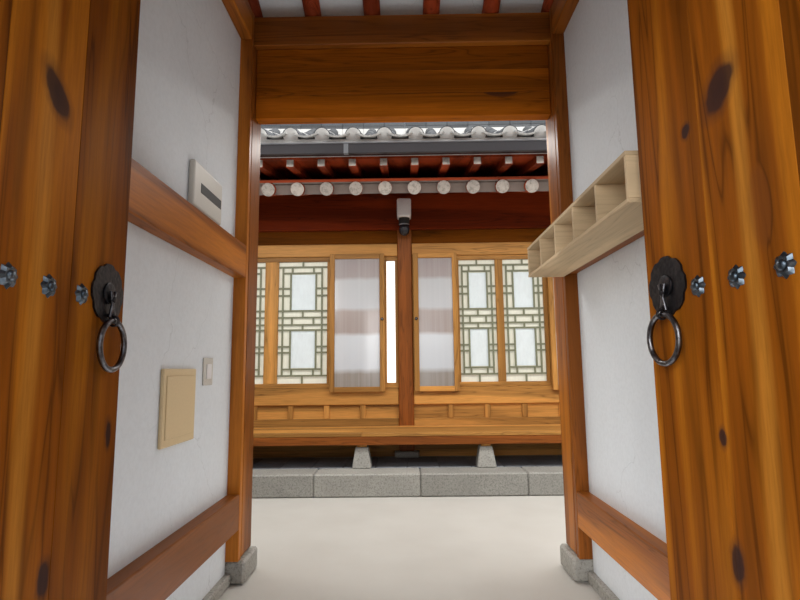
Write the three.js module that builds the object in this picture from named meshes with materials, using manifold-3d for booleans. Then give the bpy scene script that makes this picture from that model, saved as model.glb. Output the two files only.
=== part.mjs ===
// Hanok house: a one-bay gatehouse on the street, two yard walls and the main house behind the yard.
// Units are millimetres. +Z is up, +X is right and +Y runs from the street towards the main house.
// Every place below is measured from the middle of the gate passage, where the far posts begin.

import * as THREE from 'three';
import { mergeVertices } from 'three/addons/utils/BufferGeometryUtils.js';
import Module from 'manifold-3d';

const wasm = await Module();
wasm.setup();

// Running gap between pieces that touch
const GAP = 0.3;
// Depth by which solids of one piece run into each other
const BITE = 2;
// Small step between timbers of one frame whose faces would else be flush
const FLUSH_STEP = 1;

// Gate passage: a post at each corner and a timber-framed wall on each side
const PASSAGE_HALF = 900;
const GATE_POST = 200;
const GATE_WALL_FACE = 970;
const GATE_WALL_CORE = 60;
const FAR_POST_Y = 0;
const NEAR_POST_Y = -2450;
const FOOT_STONE_Z = 120;
const GATE_FOOTING_Z = 60;
const LOW_RAIL_Z = [280, 465];
const MIDDLE_RAIL_Z = [1644, 1830];
const TOP_RAIL_Z = [3100, 3280];
const GATE_STRIP = 40;
const LINTEL_BOARD_Z = 2645;
const GATE_BEAM_HALF = 1430;

// Gate leaves: each turns on wooden pivots in blocks behind the door frame
const PIVOT_X = 825;
const PIVOT_Y = -2255;
const LEAF_THICK = 50;
const LEAF_REACH = 822;
const LEAF_Z = [255, 2345];
const LEFT_OPEN = 92.7;
const RIGHT_OPEN = 84;
const PIVOT_PEG = 15;
const PIVOT_HOLE = 16.5;
const PEG_LENGTH = 35;
const BATTEN_Z = [600, 1290, 2060];
const BATTEN_HEIGHT = 110;
const BATTEN_THICK = 35;
const THRESHOLD_Z = 250;
const HEAD_Z = [2350, 2500];
const JAMB_WIDTH = 100;
const DOOR_FRAME_Y = [-2400, -2290];
const TRANSOM_Y = [-2380, -2320];
const LINTEL_BOARD_Y = [60, 140];
const FOOT_STONE_LIP = 30;
const PIVOT_BLOCK = 100;
const PIVOT_SLACK = 5;
const BATTEN_START = 60;
const BATTEN_END = 30;

// Ring handle on each leaf
const RING_FROM_EDGE = 100;
const PLATE_Z = 1340;
const PLATE_RADIUS = 82;
const PLATE_THICK = 6;
const EYE_Z = 1262;
const EYE_RADIUS = 17;
const EYE_HOLE = 9.3;
const EYE_LENGTH = 12;
const RING_MEAN = 67;
const RING_WIRE = 8;

// Pigeonhole shelf on the right wall of the passage
const SHELF_X = [700, 900];
const SHELF_Y = [-1380, -20];
const SHELF_Z = [1630, 1800];
const SHELF_BOARD = 15;
const SHELF_BAYS = 5;

// Main house: three bays along X between four columns
const COLUMNS = [-2900, 0, 2150, 5050];
const POST = 160;
const FRONT_POST_Y = 2880;
const REAR_POST_Y = 5780;
const BASE_Z = 200;
const BASE_FRONT_Y = 1890;
const BASE_END = 400;
const COLUMN_STONE_Z = 260;
const WALL_CORE = 60;
const LOWER_RAIL_Z = [500, 600];
const SILL_Z = [745, 930];
const LINTEL_Z = [2380, 2680];
const END_RAIL_Z = [1100, 1220];
const END_BEAM_Z = [2680, 2860];
const END_STRIP = 50;
const END_TIE_Z = 3100;
const GROUND_RAIL_Z = 380;
const REAR_SILL = 120;
const REAR_WINDOW = 1200;
const REAR_SASH = 100;
const LINTEL_TOP = 2520;
const RAIL_Y = [2820, 2920];
const SILL_Y = [2815, 2925];
const PANEL_Y = [2845, 2895];
const SILL_POST = 60;
const SILL_POST_Y = [2825, 2900];
const SILL_POST_STEP = 370;
const CROSS_BEAM_Z = [2780, 3040];
const COLUMN_STONE = 260;
const FLOOR_TOP = 500;
const WINDOW_Y = [2835, 2905];
const PROUD_Y = [2770, 2812];
const PROUD_Z = [885, 2400];
const PANE_DEPTH = 25;
const WIDE_BAY_LEAF = { side: 146, width: 604 };
const NARROW_BAY_LEAF = { side: 12, width: 484 };
const BAY_LEAVES = [WIDE_BAY_LEAF, NARROW_BAY_LEAF, WIDE_BAY_LEAF];
const LEAF_RIM = 50;
const LAMP_Z = [2780, 2990];
const LAMP_HALF = 84;
const LAMP_DEPTH = 170;
const LAMP_NECK = 140;
const LAMP_RADIUS = 60;
const PORCH_FRONT_Y = 2140;
const PORCH_Z = 525;
const PORCH_EDGE_Z = 415;
const PORCH_STONE_Z = 390;
const PORCH_STONE_STEP = 1180;
const PORCH_STONE_X = -430;
const PORCH_STONE_TOP = 120;
const PORCH_STONE_FOOT = 180;
const PORCH_STONE_SETBACK = 95;
const PORCH_INSET = 210;
const PORCH_BOARD = 30;
const PORCH_BEAM = 80;

// Roofs: each slope is given by its distance from the ridge line
const GATE_ROOF = {
  ridgeY: -1125,
  ridgeZ: 3724,
  rise: 0.33,
  flat: 52,
  deck: 22,
  tip: 1925,
  eave: 1985,
  left: -1560,
  right: 1560,
  edge: 110,
  pitch: 0.30,
  swell: 0.10,
  lift: 60,
  rows: 12,
};
const MAIN_ROOF = {
  ridgeY: (FRONT_POST_Y + REAR_POST_Y) / 2,
  ridgeZ: 3721,
  rise: 0.36,
  flat: 64,
  deck: 24,
  tip: 2530,
  eave: 2880,
  left: COLUMNS[0] - 650,
  right: COLUMNS[3] + 650,
  edge: 130,
  pitch: 0.34,
  swell: 0.14,
  lift: 110,
  rows: 34,
};
const ROW_INSET = 80;
const ROW_HALF = 66;
const ROW_TOP_HALF = 34;
const ROW_HEIGHT = 100;
const ROW_SHOULDER = 52;
const ROW_SUNK = { eave: 100, ridge: 200 };
const ROW_CLEAR = 2;
const GATE_RAFTER_STEP = 370;
const MAIN_RAFTER_STEP = 275;
const MAIN_RAFTER_X = -3200;
const MAIN_RAFTER_COUNT = 32;
const PURLIN_INSET = 150;
const FLYING_TIP = 2850;
const FLYING_Z = 2935;
const FLYING_SIZE = 70;
const FLYING_RISE = 0.2;
const FLYING_BOARD = 20;
const GUTTER_Z = 3000;
const RIDGE_HEIGHT = { gate: 250, main: 340 };
const RIDGE_FOOT = 150;
const RIDGE_TOP = 95;
const BARGE_THICK = 30;
const BARGE_DROP = -150;
const DECK_SETBACK = 20;
const PURLIN_HALF = 85;
const PURLIN_DEPTH = 200;
const KING_POST = 150;

// Yard walls: plastered stone with a sloped coping
const YARD_WALL = 300;
const YARD_WALL_Z = 1850;
const COPING_OVERHANG = 140;
const COPING_EDGE_Z = 1930;
const COPING_RIDGE_Z = 2170;
const COPING_STOP = 100;
const STREET_WALL_Y = -2350;

// Turns a closed three.js geometry into a solid that can be joined and cut.
// Places are rounded to a thousandth, so that faces that should be flush are exactly flush.
function solid(geometry) {
  const bare = geometry.clone();
  bare.deleteAttribute('normal');
  bare.deleteAttribute('uv');
  const merged = mergeVertices(bare, 1e-3);
  const rounded = (value) => Math.round(value * 1000) / 1000;
  const vertProperties = Float32Array.from(merged.attributes.position.array, rounded);
  const triVerts = Uint32Array.from(merged.index.array);
  return new wasm.Manifold(new wasm.Mesh({ numProp: 3, vertProperties, triVerts }));
}

// A box between two corners.
function box(x, y, z) {
  const geometry = new THREE.BoxGeometry(x[1] - x[0], y[1] - y[0], z[1] - z[0]);
  geometry.translate((x[0] + x[1]) / 2, (y[0] + y[1]) / 2, (z[0] + z[1]) / 2);
  return solid(geometry);
}

// Extrudes an outline of (first, second) points along the third axis of a right-handed set.
function extrude(outline, length, first, second, third, start) {
  const shape = new THREE.Shape(outline.map(([a, b]) => new THREE.Vector2(a, b)));
  const geometry = new THREE.ExtrudeGeometry(shape, { depth: length, bevelEnabled: false });
  geometry.applyMatrix4(new THREE.Matrix4().makeBasis(first, second, third));
  geometry.translate(start.x, start.y, start.z);
  return solid(geometry);
}

const X_AXIS = new THREE.Vector3(1, 0, 0);
const Y_AXIS = new THREE.Vector3(0, 1, 0);
const Z_AXIS = new THREE.Vector3(0, 0, 1);

// A prism along X from an outline of (y, z) points.
function alongX(outline, x) {
  return extrude(outline, x[1] - x[0], Y_AXIS, Z_AXIS, X_AXIS, new THREE.Vector3(x[0], 0, 0));
}

// A prism along Y from an outline of (x, z) points.
function alongY(outline, y) {
  const back = new THREE.Vector3(0, -1, 0);
  return extrude(outline, y[1] - y[0], X_AXIS, Z_AXIS, back, new THREE.Vector3(0, y[1], 0));
}

// An upright round bar of a few sides.
function pillar(x, y, z, radius, sides) {
  const geometry = new THREE.CylinderGeometry(radius, radius, z[1] - z[0], sides);
  geometry.rotateX(Math.PI / 2);
  geometry.translate(x, y, (z[0] + z[1]) / 2);
  return solid(geometry);
}

function join(pieces) {
  return pieces.reduce((whole, piece) => whole.add(piece));
}

function cut(body, tools) {
  return tools.reduce((whole, tool) => whole.subtract(tool), body);
}

const materials = {
  pine: { color: 0xb0682c, roughness: 0.42, metalness: 0 },
  darkPine: { color: 0x6e2f18, roughness: 0.5, metalness: 0 },
  paleWood: { color: 0xd8b98a, roughness: 0.6, metalness: 0 },
  plaster: { color: 0xd6d8dc, roughness: 0.9, metalness: 0 },
  tile: { color: 0x6b6d70, roughness: 0.8, metalness: 0 },
  stone: { color: 0xa5a49f, roughness: 0.85, metalness: 0 },
  iron: { color: 0x2b2b30, roughness: 0.5, metalness: 0.8 },
  housing: { color: 0xe8e8e6, roughness: 0.5, metalness: 0 },
};

const house = new THREE.Group();

// Adds a solid to a group as one named mesh.
function add(name, body, material, group = house) {
  const result = body.getMesh();
  const geometry = new THREE.BufferGeometry();
  geometry.setAttribute('position', new THREE.BufferAttribute(result.vertProperties, 3));
  geometry.setIndex(new THREE.BufferAttribute(result.triVerts, 1));
  geometry.computeVertexNormals();
  const mesh = new THREE.Mesh(geometry, new THREE.MeshStandardMaterial(materials[material]));
  mesh.name = name;
  group.add(mesh);
  return mesh;
}

// Height of a line that runs down a roof slope, offset square to the rafters.
function slopeZ(roof, distance, offset) {
  return roof.ridgeZ - roof.rise * distance + offset * Math.hypot(1, roof.rise);
}

// Y of a point at a distance from the ridge; side is 1 towards the yard's far end and -1 towards the street.
function slopeY(roof, side, distance) {
  return roof.ridgeY + side * distance;
}

// Distance from the ridge line of a place on Y.
function fromRidge(roof, y) {
  return Math.abs(y - roof.ridgeY);
}

// Height of the underside of the rafters over a place on Y.
function rafterFootZ(roof, y) {
  return slopeZ(roof, fromRidge(roof, y), -roof.flat) - GAP;
}

// One eight-sided rafter with a flat underside.
function rafter(roof, side, x) {
  const start = 40;
  const length = (roof.tip - start) * Math.hypot(1, roof.rise);
  const radius = roof.flat / Math.cos(Math.PI / 8);
  const geometry = new THREE.CylinderGeometry(radius, radius, length, 8, 1, false, Math.PI / 8);
  geometry.rotateX(-side * Math.atan(roof.rise));
  const middle = (roof.tip + start) / 2;
  geometry.translate(x, slopeY(roof, side, middle), slopeZ(roof, middle, 0));
  return solid(geometry);
}

// The roof boards over the rafters of one slope, joined to the rafters that carry them.
function rafterSlope(roof, side, places) {
  const near = GAP / 2;
  const far = roof.tip - DECK_SETBACK;
  const low = roof.flat - BITE;
  const high = roof.flat + roof.deck;
  const outline = [
    [slopeY(roof, side, near), slopeZ(roof, near, low)],
    [slopeY(roof, side, far), slopeZ(roof, far, low)],
    [slopeY(roof, side, far), slopeZ(roof, far, high)],
    [slopeY(roof, side, near), slopeZ(roof, near, high)],
  ];
  const boards = alongX(outline, [roof.left + 20, roof.right - 20]);
  return join([boards, ...places.map((x) => rafter(roof, side, x))]);
}

// Height of the boards' upper face, where the roof's filling begins.
function deckTopZ(roof, distance) {
  return slopeZ(roof, distance, roof.flat + roof.deck);
}

// Height of the tile bed: a hollow curve that steepens towards the ridge.
function tileBedZ(roof, eaveZ, distance) {
  const run = roof.eave - distance;
  return eaveZ + roof.edge + roof.pitch * run + roof.swell * run * run / roof.eave;
}

// Rise of the roof's upper edges towards its two ends.
function endLift(roof, x) {
  const half = (roof.right - roof.left) / 2;
  const middle = (roof.right + roof.left) / 2;
  return roof.lift * Math.abs((x - middle) / half) ** 3;
}

// Places along X where the lifted shapes of a roof are drawn.
function roofStations(roof) {
  const shares = [0, 0.1, 0.22, 0.36, 0.64, 0.78, 0.9, 1];
  return shares.map((share) => roof.left + share * (roof.right - roof.left));
}

// A closed body through like outlines of (y, z) points that stand at places along X.
function loft(places, outlineAt) {
  const rings = places.map(outlineAt);
  const count = rings[0].length;
  const positions = [];
  rings.forEach((ring, i) => ring.forEach(([y, z]) => positions.push(places[i], y, z)));
  const flat = rings[0].map(([y, z]) => new THREE.Vector2(y, z));
  const clockwise = THREE.ShapeUtils.isClockWise(flat);
  const triangles = [];
  const face = (a, b, c) => triangles.push(...(clockwise ? [a, c, b] : [a, b, c]));
  for (let i = 0; i + 1 < rings.length; i += 1) {
    for (let j = 0; j < count; j += 1) {
      const here = i * count + j;
      const next = i * count + (j + 1) % count;
      face(here, next, here + count);
      face(next, next + count, here + count);
    }
  }
  const order = clockwise ? [...flat].reverse() : flat;
  const index = (k) => (clockwise ? count - 1 - k : k);
  const last = (rings.length - 1) * count;
  for (const [a, b, c] of THREE.ShapeUtils.triangulateShape(order, [])) {
    triangles.push(index(a), index(c), index(b));
    triangles.push(last + index(a), last + index(b), last + index(c));
  }
  const geometry = new THREE.BufferGeometry();
  geometry.setAttribute('position', new THREE.Float32BufferAttribute(positions, 3));
  geometry.setIndex(triangles);
  return solid(geometry);
}

const BED_SHARES = [1, 0.8, 0.6, 0.4, 0.2];

// Upper outline of one roof slope at a place along X, from the eave to the ridge line.
function bedOutline(roof, side, eaveZ, x) {
  const near = GAP / 2;
  const distances = [...BED_SHARES.map((share) => share * roof.eave), RIDGE_FOOT, near];
  return distances.map((d) => [slopeY(roof, side, d), tileBedZ(roof, eaveZ, d) + endLift(roof, x)]);
}

// The filling and tile bed of one slope; underside is its list of (distance, z) points, ridge first.
function roofSlope(roof, side, eaveZ, underside) {
  const low = underside.map(([d, z]) => [slopeY(roof, side, d), z]);
  return loft(roofStations(roof), (x) => [...low, ...bedOutline(roof, side, eaveZ, x)]);
}

const ROW_SHARES = [1, 0.75, 0.5, 0.25];

// One row of round tiles that runs down a slope at a place along X, sunk in the tile bed.
function tileRow(roof, side, eaveZ, x) {
  const far = roof.eave - FLUSH_STEP;
  const near = RIDGE_FOOT + ROW_CLEAR;
  const lift = endLift(roof, x);
  const at = (d, above) => [slopeY(roof, side, d), tileBedZ(roof, eaveZ, d) + lift + above];
  const distances = [...ROW_SHARES.map((share) => share * far), near];
  const places = [x - ROW_HALF, x - ROW_TOP_HALF, x + ROW_TOP_HALF, x + ROW_HALF];
  return loft(places, (place) => {
    const above = Math.abs(place - x) < ROW_HALF - 1 ? ROW_HEIGHT : ROW_SHOULDER;
    return [at(near, -ROW_SUNK.ridge), at(far, -ROW_SUNK.eave), ...distances.map((d) => at(d, above))];
  });
}

// The filling and tile bed of one slope with its rows of round tiles.
function tiledSlope(roof, side, eaveZ, underside) {
  const step = (roof.right - roof.left - 2 * ROW_INSET) / (roof.rows - 1);
  const places = Array.from({ length: roof.rows }, (_, k) => roof.left + ROW_INSET + k * step);
  const rows = places.map((x) => tileRow(roof, side, eaveZ, x));
  return join([roofSlope(roof, side, eaveZ, underside), ...rows]);
}

// The ridge of stacked tiles over both slopes.
function ridge(roof, eaveZ, height) {
  const foot = RIDGE_FOOT;
  const top = RIDGE_TOP;
  const footZ = tileBedZ(roof, eaveZ, foot) + GAP;
  const peakZ = tileBedZ(roof, eaveZ, 0) + GAP;
  return loft(roofStations(roof), (x) => {
    const lift = endLift(roof, x);
    const crown = peakZ + height + 1.6 * lift;
    return [
      [roof.ridgeY - foot, footZ + lift],
      [roof.ridgeY, peakZ + lift],
      [roof.ridgeY + foot, footZ + lift],
      [roof.ridgeY + top, crown - 50],
      [roof.ridgeY, crown],
      [roof.ridgeY - top, crown - 50],
    ];
  });
}

// Bargeboards that close the rafters at one end of a roof, joined at the ridge.
function bargeboards(roof, x, drop) {
  const far = roof.tip + 20;
  const high = roof.flat + roof.deck + 60;
  const peak = (offset) => [roof.ridgeY, slopeZ(roof, 0, offset)];
  const foot = (side, offset) => [slopeY(roof, side, far), slopeZ(roof, far, offset)];
  const outline = [foot(-1, drop), peak(drop), foot(1, drop), foot(1, high), peak(high), foot(-1, high)];
  return alongX(outline, x);
}

// The sloped top of a beam that carries the rafters, as an outline across the beam.
function beamOutline(roof, y, low) {
  return [[y[0], low], [y[1], low], [y[1], rafterFootZ(roof, y[1])], [y[0], rafterFootZ(roof, y[0])]];
}

// The ridge purlin, bevelled on both sides to carry the rafters' heads.
function ridgePurlin(roof, half, depth, x) {
  const y = [roof.ridgeY - half, roof.ridgeY + half];
  const peakZ = slopeZ(roof, 0, -roof.flat) - GAP;
  const low = peakZ - depth;
  const outline = [
    [y[0], low],
    [y[1], low],
    [y[1], rafterFootZ(roof, y[1])],
    [roof.ridgeY, peakZ],
    [y[0], rafterFootZ(roof, y[0])],
  ];
  return alongX(outline, x);
}

// Height of the underside of a ridge purlin of a given depth.
function purlinLowZ(roof, depth) {
  return slopeZ(roof, 0, -roof.flat) - GAP - depth;
}

const BOTH_SIDES = [-1, 1];
const SIDE_NAME = { [-1]: 'left', 1: 'right' };

// A span on X that lies outward from the passage's middle, on one side of it.
function outward(side, near, far) {
  return side < 0 ? [-far, -near] : [near, far];
}

// The pair of posts and the rafter-carrying beam over one end of the passage.
function gateFrame(nearY) {
  const x = [PASSAGE_HALF, PASSAGE_HALF + GATE_POST];
  const y = [nearY, nearY + GATE_POST];
  const z = [FOOT_STONE_Z + GAP, TOP_RAIL_Z[0] + BITE];
  const posts = BOTH_SIDES.map((side) => box(outward(side, ...x), y, z));
  const outline = beamOutline(GATE_ROOF, [y[0] + 20, y[1] - 20], TOP_RAIL_Z[0]);
  return join([...posts, alongX(outline, [-GATE_BEAM_HALF, GATE_BEAM_HALF])]);
}

// The framing of one passage wall: strips before and behind the plaster, tied at both ends.
function passageRails(side) {
  const y = [NEAR_POST_Y + GATE_POST + GAP, FAR_POST_Y - GAP];
  const inner = outward(side, PASSAGE_HALF + FLUSH_STEP, GATE_WALL_FACE - GAP);
  const outerFace = PASSAGE_HALF + GATE_POST - FLUSH_STEP;
  const outer = outward(side, GATE_WALL_FACE + GATE_WALL_CORE + GAP, outerFace);
  const whole = outward(side, PASSAGE_HALF, PASSAGE_HALF + GATE_POST);
  const ends = [[y[0], y[0] + GATE_STRIP], [y[1] - GATE_STRIP, y[1]]];
  const ties = ends.map((span) => box(whole, span, [FOOT_STONE_Z + GAP, TOP_RAIL_Z[1] + FLUSH_STEP]));
  const rails = [LOW_RAIL_Z, MIDDLE_RAIL_Z, TOP_RAIL_Z].flatMap((z) => [box(inner, y, z), box(outer, y, z)]);
  const postY = [GATE_ROOF.ridgeY - KING_POST / 2, GATE_ROOF.ridgeY + KING_POST / 2];
  const postZ = [TOP_RAIL_Z[1] - BITE, purlinLowZ(GATE_ROOF, PURLIN_DEPTH) - GAP];
  const innerPost = outward(side, PASSAGE_HALF + 2 * FLUSH_STEP, GATE_WALL_FACE - GAP - FLUSH_STEP);
  const outerPost = outward(side, GATE_WALL_FACE + GATE_WALL_CORE + GAP + FLUSH_STEP, outerFace - FLUSH_STEP);
  const posts = [box(innerPost, postY, postZ), box(outerPost, postY, postZ)];
  return join([...ties, ...rails, ...posts]);
}

// A notch that lets a ridge purlin pass through a gable wall.
function purlinNotch(roof, x) {
  const half = PURLIN_HALF + GAP;
  const low = purlinLowZ(roof, PURLIN_DEPTH) - GAP;
  return box([x[0] - 1, x[1] + 1], [roof.ridgeY - half, roof.ridgeY + half], [low, low + 1000]);
}

// A plaster wall that fills a gable end up to the underside of its rafters.
function gablePlaster(roof, x, y, low) {
  const outline = [
    [y[0], low],
    [y[1], low],
    [y[1], rafterFootZ(roof, y[1])],
    [roof.ridgeY, rafterFootZ(roof, roof.ridgeY)],
    [y[0], rafterFootZ(roof, y[0])],
  ];
  return cut(alongX(outline, x), [purlinNotch(roof, x)]);
}

function passagePlaster(side) {
  const x = outward(side, GATE_WALL_FACE, GATE_WALL_FACE + GATE_WALL_CORE);
  const inset = 2 * GAP + GATE_STRIP;
  const y = [NEAR_POST_Y + GATE_POST + inset, FAR_POST_Y - inset];
  return gablePlaster(GATE_ROOF, x, y, GATE_FOOTING_Z + GAP);
}

// The stone under one post, widened on every side by a margin.
function footStone(side, postY, margin) {
  const lip = FOOT_STONE_LIP + margin;
  const x = outward(side, PASSAGE_HALF - lip, PASSAGE_HALF + GATE_POST + lip);
  return box(x, [postY - lip, postY + GATE_POST + lip], [0, FOOT_STONE_Z + margin]);
}

// The stones under the two posts of one passage wall and the low footing between them.
function gateFooting(side) {
  const stones = [NEAR_POST_Y, FAR_POST_Y].map((y) => footStone(side, y, 0));
  const x = outward(side, GATE_WALL_FACE - FOOT_STONE_LIP, GATE_WALL_FACE + GATE_WALL_CORE + FOOT_STONE_LIP);
  const footing = box(x, [NEAR_POST_Y + GATE_POST, FAR_POST_Y], [0, GATE_FOOTING_Z]);
  return join([...stones, footing]);
}

// The block behind the door frame that holds one pivot peg of a leaf.
function pivotBlock(side, z, hole) {
  const x = outward(side, PIVOT_X - PIVOT_BLOCK / 2, PIVOT_X + PIVOT_BLOCK / 2);
  const block = box(x, [DOOR_FRAME_Y[1] - BITE, PIVOT_Y + PIVOT_BLOCK / 2], z);
  return cut(block, [pillar(side * PIVOT_X, PIVOT_Y, hole, PIVOT_HOLE, 12)]);
}

// The threshold, jambs and head that the leaves close against, with their pivot blocks.
function doorFrame() {
  const half = PASSAGE_HALF - GAP;
  const sill = box([-half, half], DOOR_FRAME_Y, [0, THRESHOLD_Z]);
  const head = box([-half, half], DOOR_FRAME_Y, HEAD_Z);
  const jambY = [DOOR_FRAME_Y[0] + FLUSH_STEP, DOOR_FRAME_Y[1] - FLUSH_STEP];
  const jambZ = [THRESHOLD_Z - BITE, HEAD_Z[0] + BITE];
  const jambX = [PASSAGE_HALF - JAMB_WIDTH, half - FLUSH_STEP];
  const jambs = BOTH_SIDES.map((side) => box(outward(side, ...jambX), jambY, jambZ));
  const lowZ = [THRESHOLD_Z - PIVOT_BLOCK, THRESHOLD_Z - FLUSH_STEP];
  const highZ = [HEAD_Z[0] + FLUSH_STEP, HEAD_Z[0] + PIVOT_BLOCK];
  const lowHole = [LEAF_Z[0] - PEG_LENGTH - GAP, THRESHOLD_Z + 1];
  const highHole = [HEAD_Z[0] - 1, LEAF_Z[1] + PEG_LENGTH + PIVOT_SLACK];
  const blocks = BOTH_SIDES.flatMap((side) => [pivotBlock(side, lowZ, lowHole), pivotBlock(side, highZ, highHole)]);
  const stones = BOTH_SIDES.map((side) => footStone(side, NEAR_POST_Y, GAP));
  return cut(join([sill, head, ...jambs, ...blocks]), stones);
}

// A board wall between two posts of the passage, under the beam.
function passageBoards(y, low) {
  const half = PASSAGE_HALF - GAP;
  return box([-half, half], y, [low, TOP_RAIL_Z[0] - GAP]);
}

// A span on X from a leaf's pivot towards its free edge; the left leaf runs towards +X.
function alongLeaf(side, near, far) {
  return side < 0 ? [near, far] : [-far, -near];
}

// One gate leaf, closed, about its pivot: boards, a round stile with pivot pegs, and battens behind.
function leaf(side) {
  const half = LEAF_THICK / 2;
  const boards = box(alongLeaf(side, 0, LEAF_REACH), [-half, half], LEAF_Z);
  const stile = pillar(0, 0, LEAF_Z, half, 16);
  const pegs = pillar(0, 0, [LEAF_Z[0] - PEG_LENGTH, LEAF_Z[1] + PEG_LENGTH], PIVOT_PEG, 12);
  const battenX = alongLeaf(side, BATTEN_START, LEAF_REACH - BATTEN_END);
  const battenY = [half - BITE, half + BATTEN_THICK];
  const battens = BATTEN_Z.map((z) => box(battenX, battenY, [z, z + BATTEN_HEIGHT]));
  return join([boards, stile, pegs, ...battens]);
}

// Y of the ring's bar from the leaf's middle plane, on the outer side.
const BAR_Y = -(LEAF_THICK / 2 + GAP + PLATE_THICK + EYE_RADIUS + 1);

// A round bar along X.
function barAlongX(x, length, y, z, radius, sides) {
  const geometry = new THREE.CylinderGeometry(radius, radius, length, sides);
  geometry.rotateZ(Math.PI / 2);
  geometry.translate(x, y, z);
  return solid(geometry);
}

// The scalloped back plate of a ring handle with the tongue and eye that carry the ring.
function ringPlate(side) {
  const x = -side * (LEAF_REACH - RING_FROM_EDGE);
  const face = -LEAF_THICK / 2 - GAP;
  const turns = Array.from({ length: 48 }, (_, k) => (k / 48) * 2 * Math.PI);
  const reach = (angle) => PLATE_RADIUS * (1 + 0.05 * Math.cos(8 * angle));
  const outline = turns.map((a) => [x + reach(a) * Math.cos(a), PLATE_Z + reach(a) * Math.sin(a)]);
  const plate = alongY(outline, [face - PLATE_THICK, face]);
  const tongueY = [BAR_Y - 8, face - PLATE_THICK + BITE];
  const tongue = box([x - EYE_LENGTH / 2, x + EYE_LENGTH / 2], tongueY, [EYE_Z + 4, PLATE_Z + 22]);
  const eye = barAlongX(x, EYE_LENGTH, BAR_Y, EYE_Z, EYE_RADIUS, 16);
  const hole = barAlongX(x, EYE_LENGTH + 20, BAR_Y, EYE_Z + 0.2, EYE_HOLE, 16);
  return cut(join([plate, tongue, eye]), [hole]);
}

// The ring, hanging with the top of its bar in the eye.
function ring(side) {
  const geometry = new THREE.TorusGeometry(RING_MEAN, RING_WIRE, 8, 32);
  geometry.rotateX(Math.PI / 2);
  geometry.translate(-side * (LEAF_REACH - RING_FROM_EDGE), BAR_Y, EYE_Z - RING_MEAN);
  return solid(geometry);
}

// A row of open-fronted pigeonholes against the right wall's middle rail.
function wallShelf() {
  const body = box([SHELF_X[0], SHELF_X[1] - GAP], SHELF_Y, SHELF_Z);
  const bay = (SHELF_Y[1] - SHELF_Y[0] - SHELF_BOARD) / SHELF_BAYS;
  const x = [SHELF_X[0] - 1, SHELF_X[1] - SHELF_BOARD];
  const z = [SHELF_Z[0] + SHELF_BOARD, SHELF_Z[1] - SHELF_BOARD];
  const starts = Array.from({ length: SHELF_BAYS }, (_, k) => SHELF_Y[0] + SHELF_BOARD + k * bay);
  return cut(body, starts.map((y) => box(x, [y, y + bay - SHELF_BOARD], z)));
}

// Places of the rafters over the gatehouse, the same on both sides of the middle.
const gateRafters = [-3.5, -2.5, -1.5, -0.5, 0.5, 1.5, 2.5, 3.5].map((k) => k * GATE_RAFTER_STEP);
const gateDeckEnd = GATE_ROOF.tip - DECK_SETBACK;
const gateEaveZ = deckTopZ(GATE_ROOF, gateDeckEnd) + GAP;

function gateRoof(side) {
  const near = GAP / 2;
  const underside = [
    [near, deckTopZ(GATE_ROOF, near) + GAP],
    [gateDeckEnd, gateEaveZ],
    [GATE_ROOF.eave, gateEaveZ],
  ];
  return tiledSlope(GATE_ROOF, side, gateEaveZ, underside);
}

add('gate_front_frame', gateFrame(NEAR_POST_Y), 'pine');
add('gate_rear_frame', gateFrame(FAR_POST_Y), 'pine');
add('gate_door_frame', doorFrame(), 'pine');
add('gate_transom_panel', passageBoards(TRANSOM_Y, HEAD_Z[1] + GAP), 'pine');
add('passage_lintel_boards', passageBoards(LINTEL_BOARD_Y, LINTEL_BOARD_Z), 'pine');
add('gate_ridge_purlin', ridgePurlin(GATE_ROOF, PURLIN_HALF, PURLIN_DEPTH, [-GATE_BEAM_HALF, GATE_BEAM_HALF]), 'darkPine');
add('wall_shelf', wallShelf(), 'paleWood');
for (const side of BOTH_SIDES) {
  const name = SIDE_NAME[side];
  add(`passage_${name}_rails`, passageRails(side), 'pine');
  add(`passage_${name}_plaster`, passagePlaster(side), 'plaster');
  add(`gate_${name}_footing`, gateFooting(side), 'stone');
}
for (const [side, name] of [[-1, 'front'], [1, 'rear']]) {
  add(`gate_rafters_${name}`, rafterSlope(GATE_ROOF, side, gateRafters), 'darkPine');
  add(`gate_roof_${name}`, gateRoof(side), 'tile');
}
add('gate_ridge', ridge(GATE_ROOF, gateEaveZ, RIDGE_HEIGHT.gate), 'tile');
const gateBarge = bargeboards(GATE_ROOF, [0, BARGE_THICK], BARGE_DROP);
add('gate_left_bargeboards', gateBarge, 'darkPine').position.x = GATE_ROOF.left - GAP - BARGE_THICK;
add('gate_right_bargeboards', gateBarge, 'darkPine').position.x = GATE_ROOF.right + GAP;

// Each leaf hangs open on its pivots, and its ring hangs on its plate.
for (const [side, open] of [[-1, LEFT_OPEN], [1, -RIGHT_OPEN]]) {
  const name = SIDE_NAME[side];
  const hung = new THREE.Group();
  hung.position.set(side * PIVOT_X, PIVOT_Y, 0);
  hung.rotation.z = THREE.MathUtils.degToRad(open);
  add(`${name}_leaf`, leaf(side), 'pine', hung);
  add(`${name}_ring_plate`, ringPlate(side), 'iron', hung);
  add(`${name}_ring`, ring(side), 'iron', hung);
  house.add(hung);
}

// The square span of a main-house post about its centre.
function postSpan(centre) {
  return [centre - POST / 2, centre + POST / 2];
}

const OUTER_X = [COLUMNS[0] - POST / 2, COLUMNS[3] + POST / 2];
const RAIL_X = [OUTER_X[0] + FLUSH_STEP, OUTER_X[1] - FLUSH_STEP];
const INNER_X = [COLUMNS[0] + POST / 2, COLUMNS[3] - POST / 2];
const FRONT_SPAN = postSpan(FRONT_POST_Y);
const REAR_SPAN = postSpan(REAR_POST_Y);
const PURLIN_X = [MAIN_ROOF.left + PURLIN_INSET, MAIN_ROOF.right - PURLIN_INSET];

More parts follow.
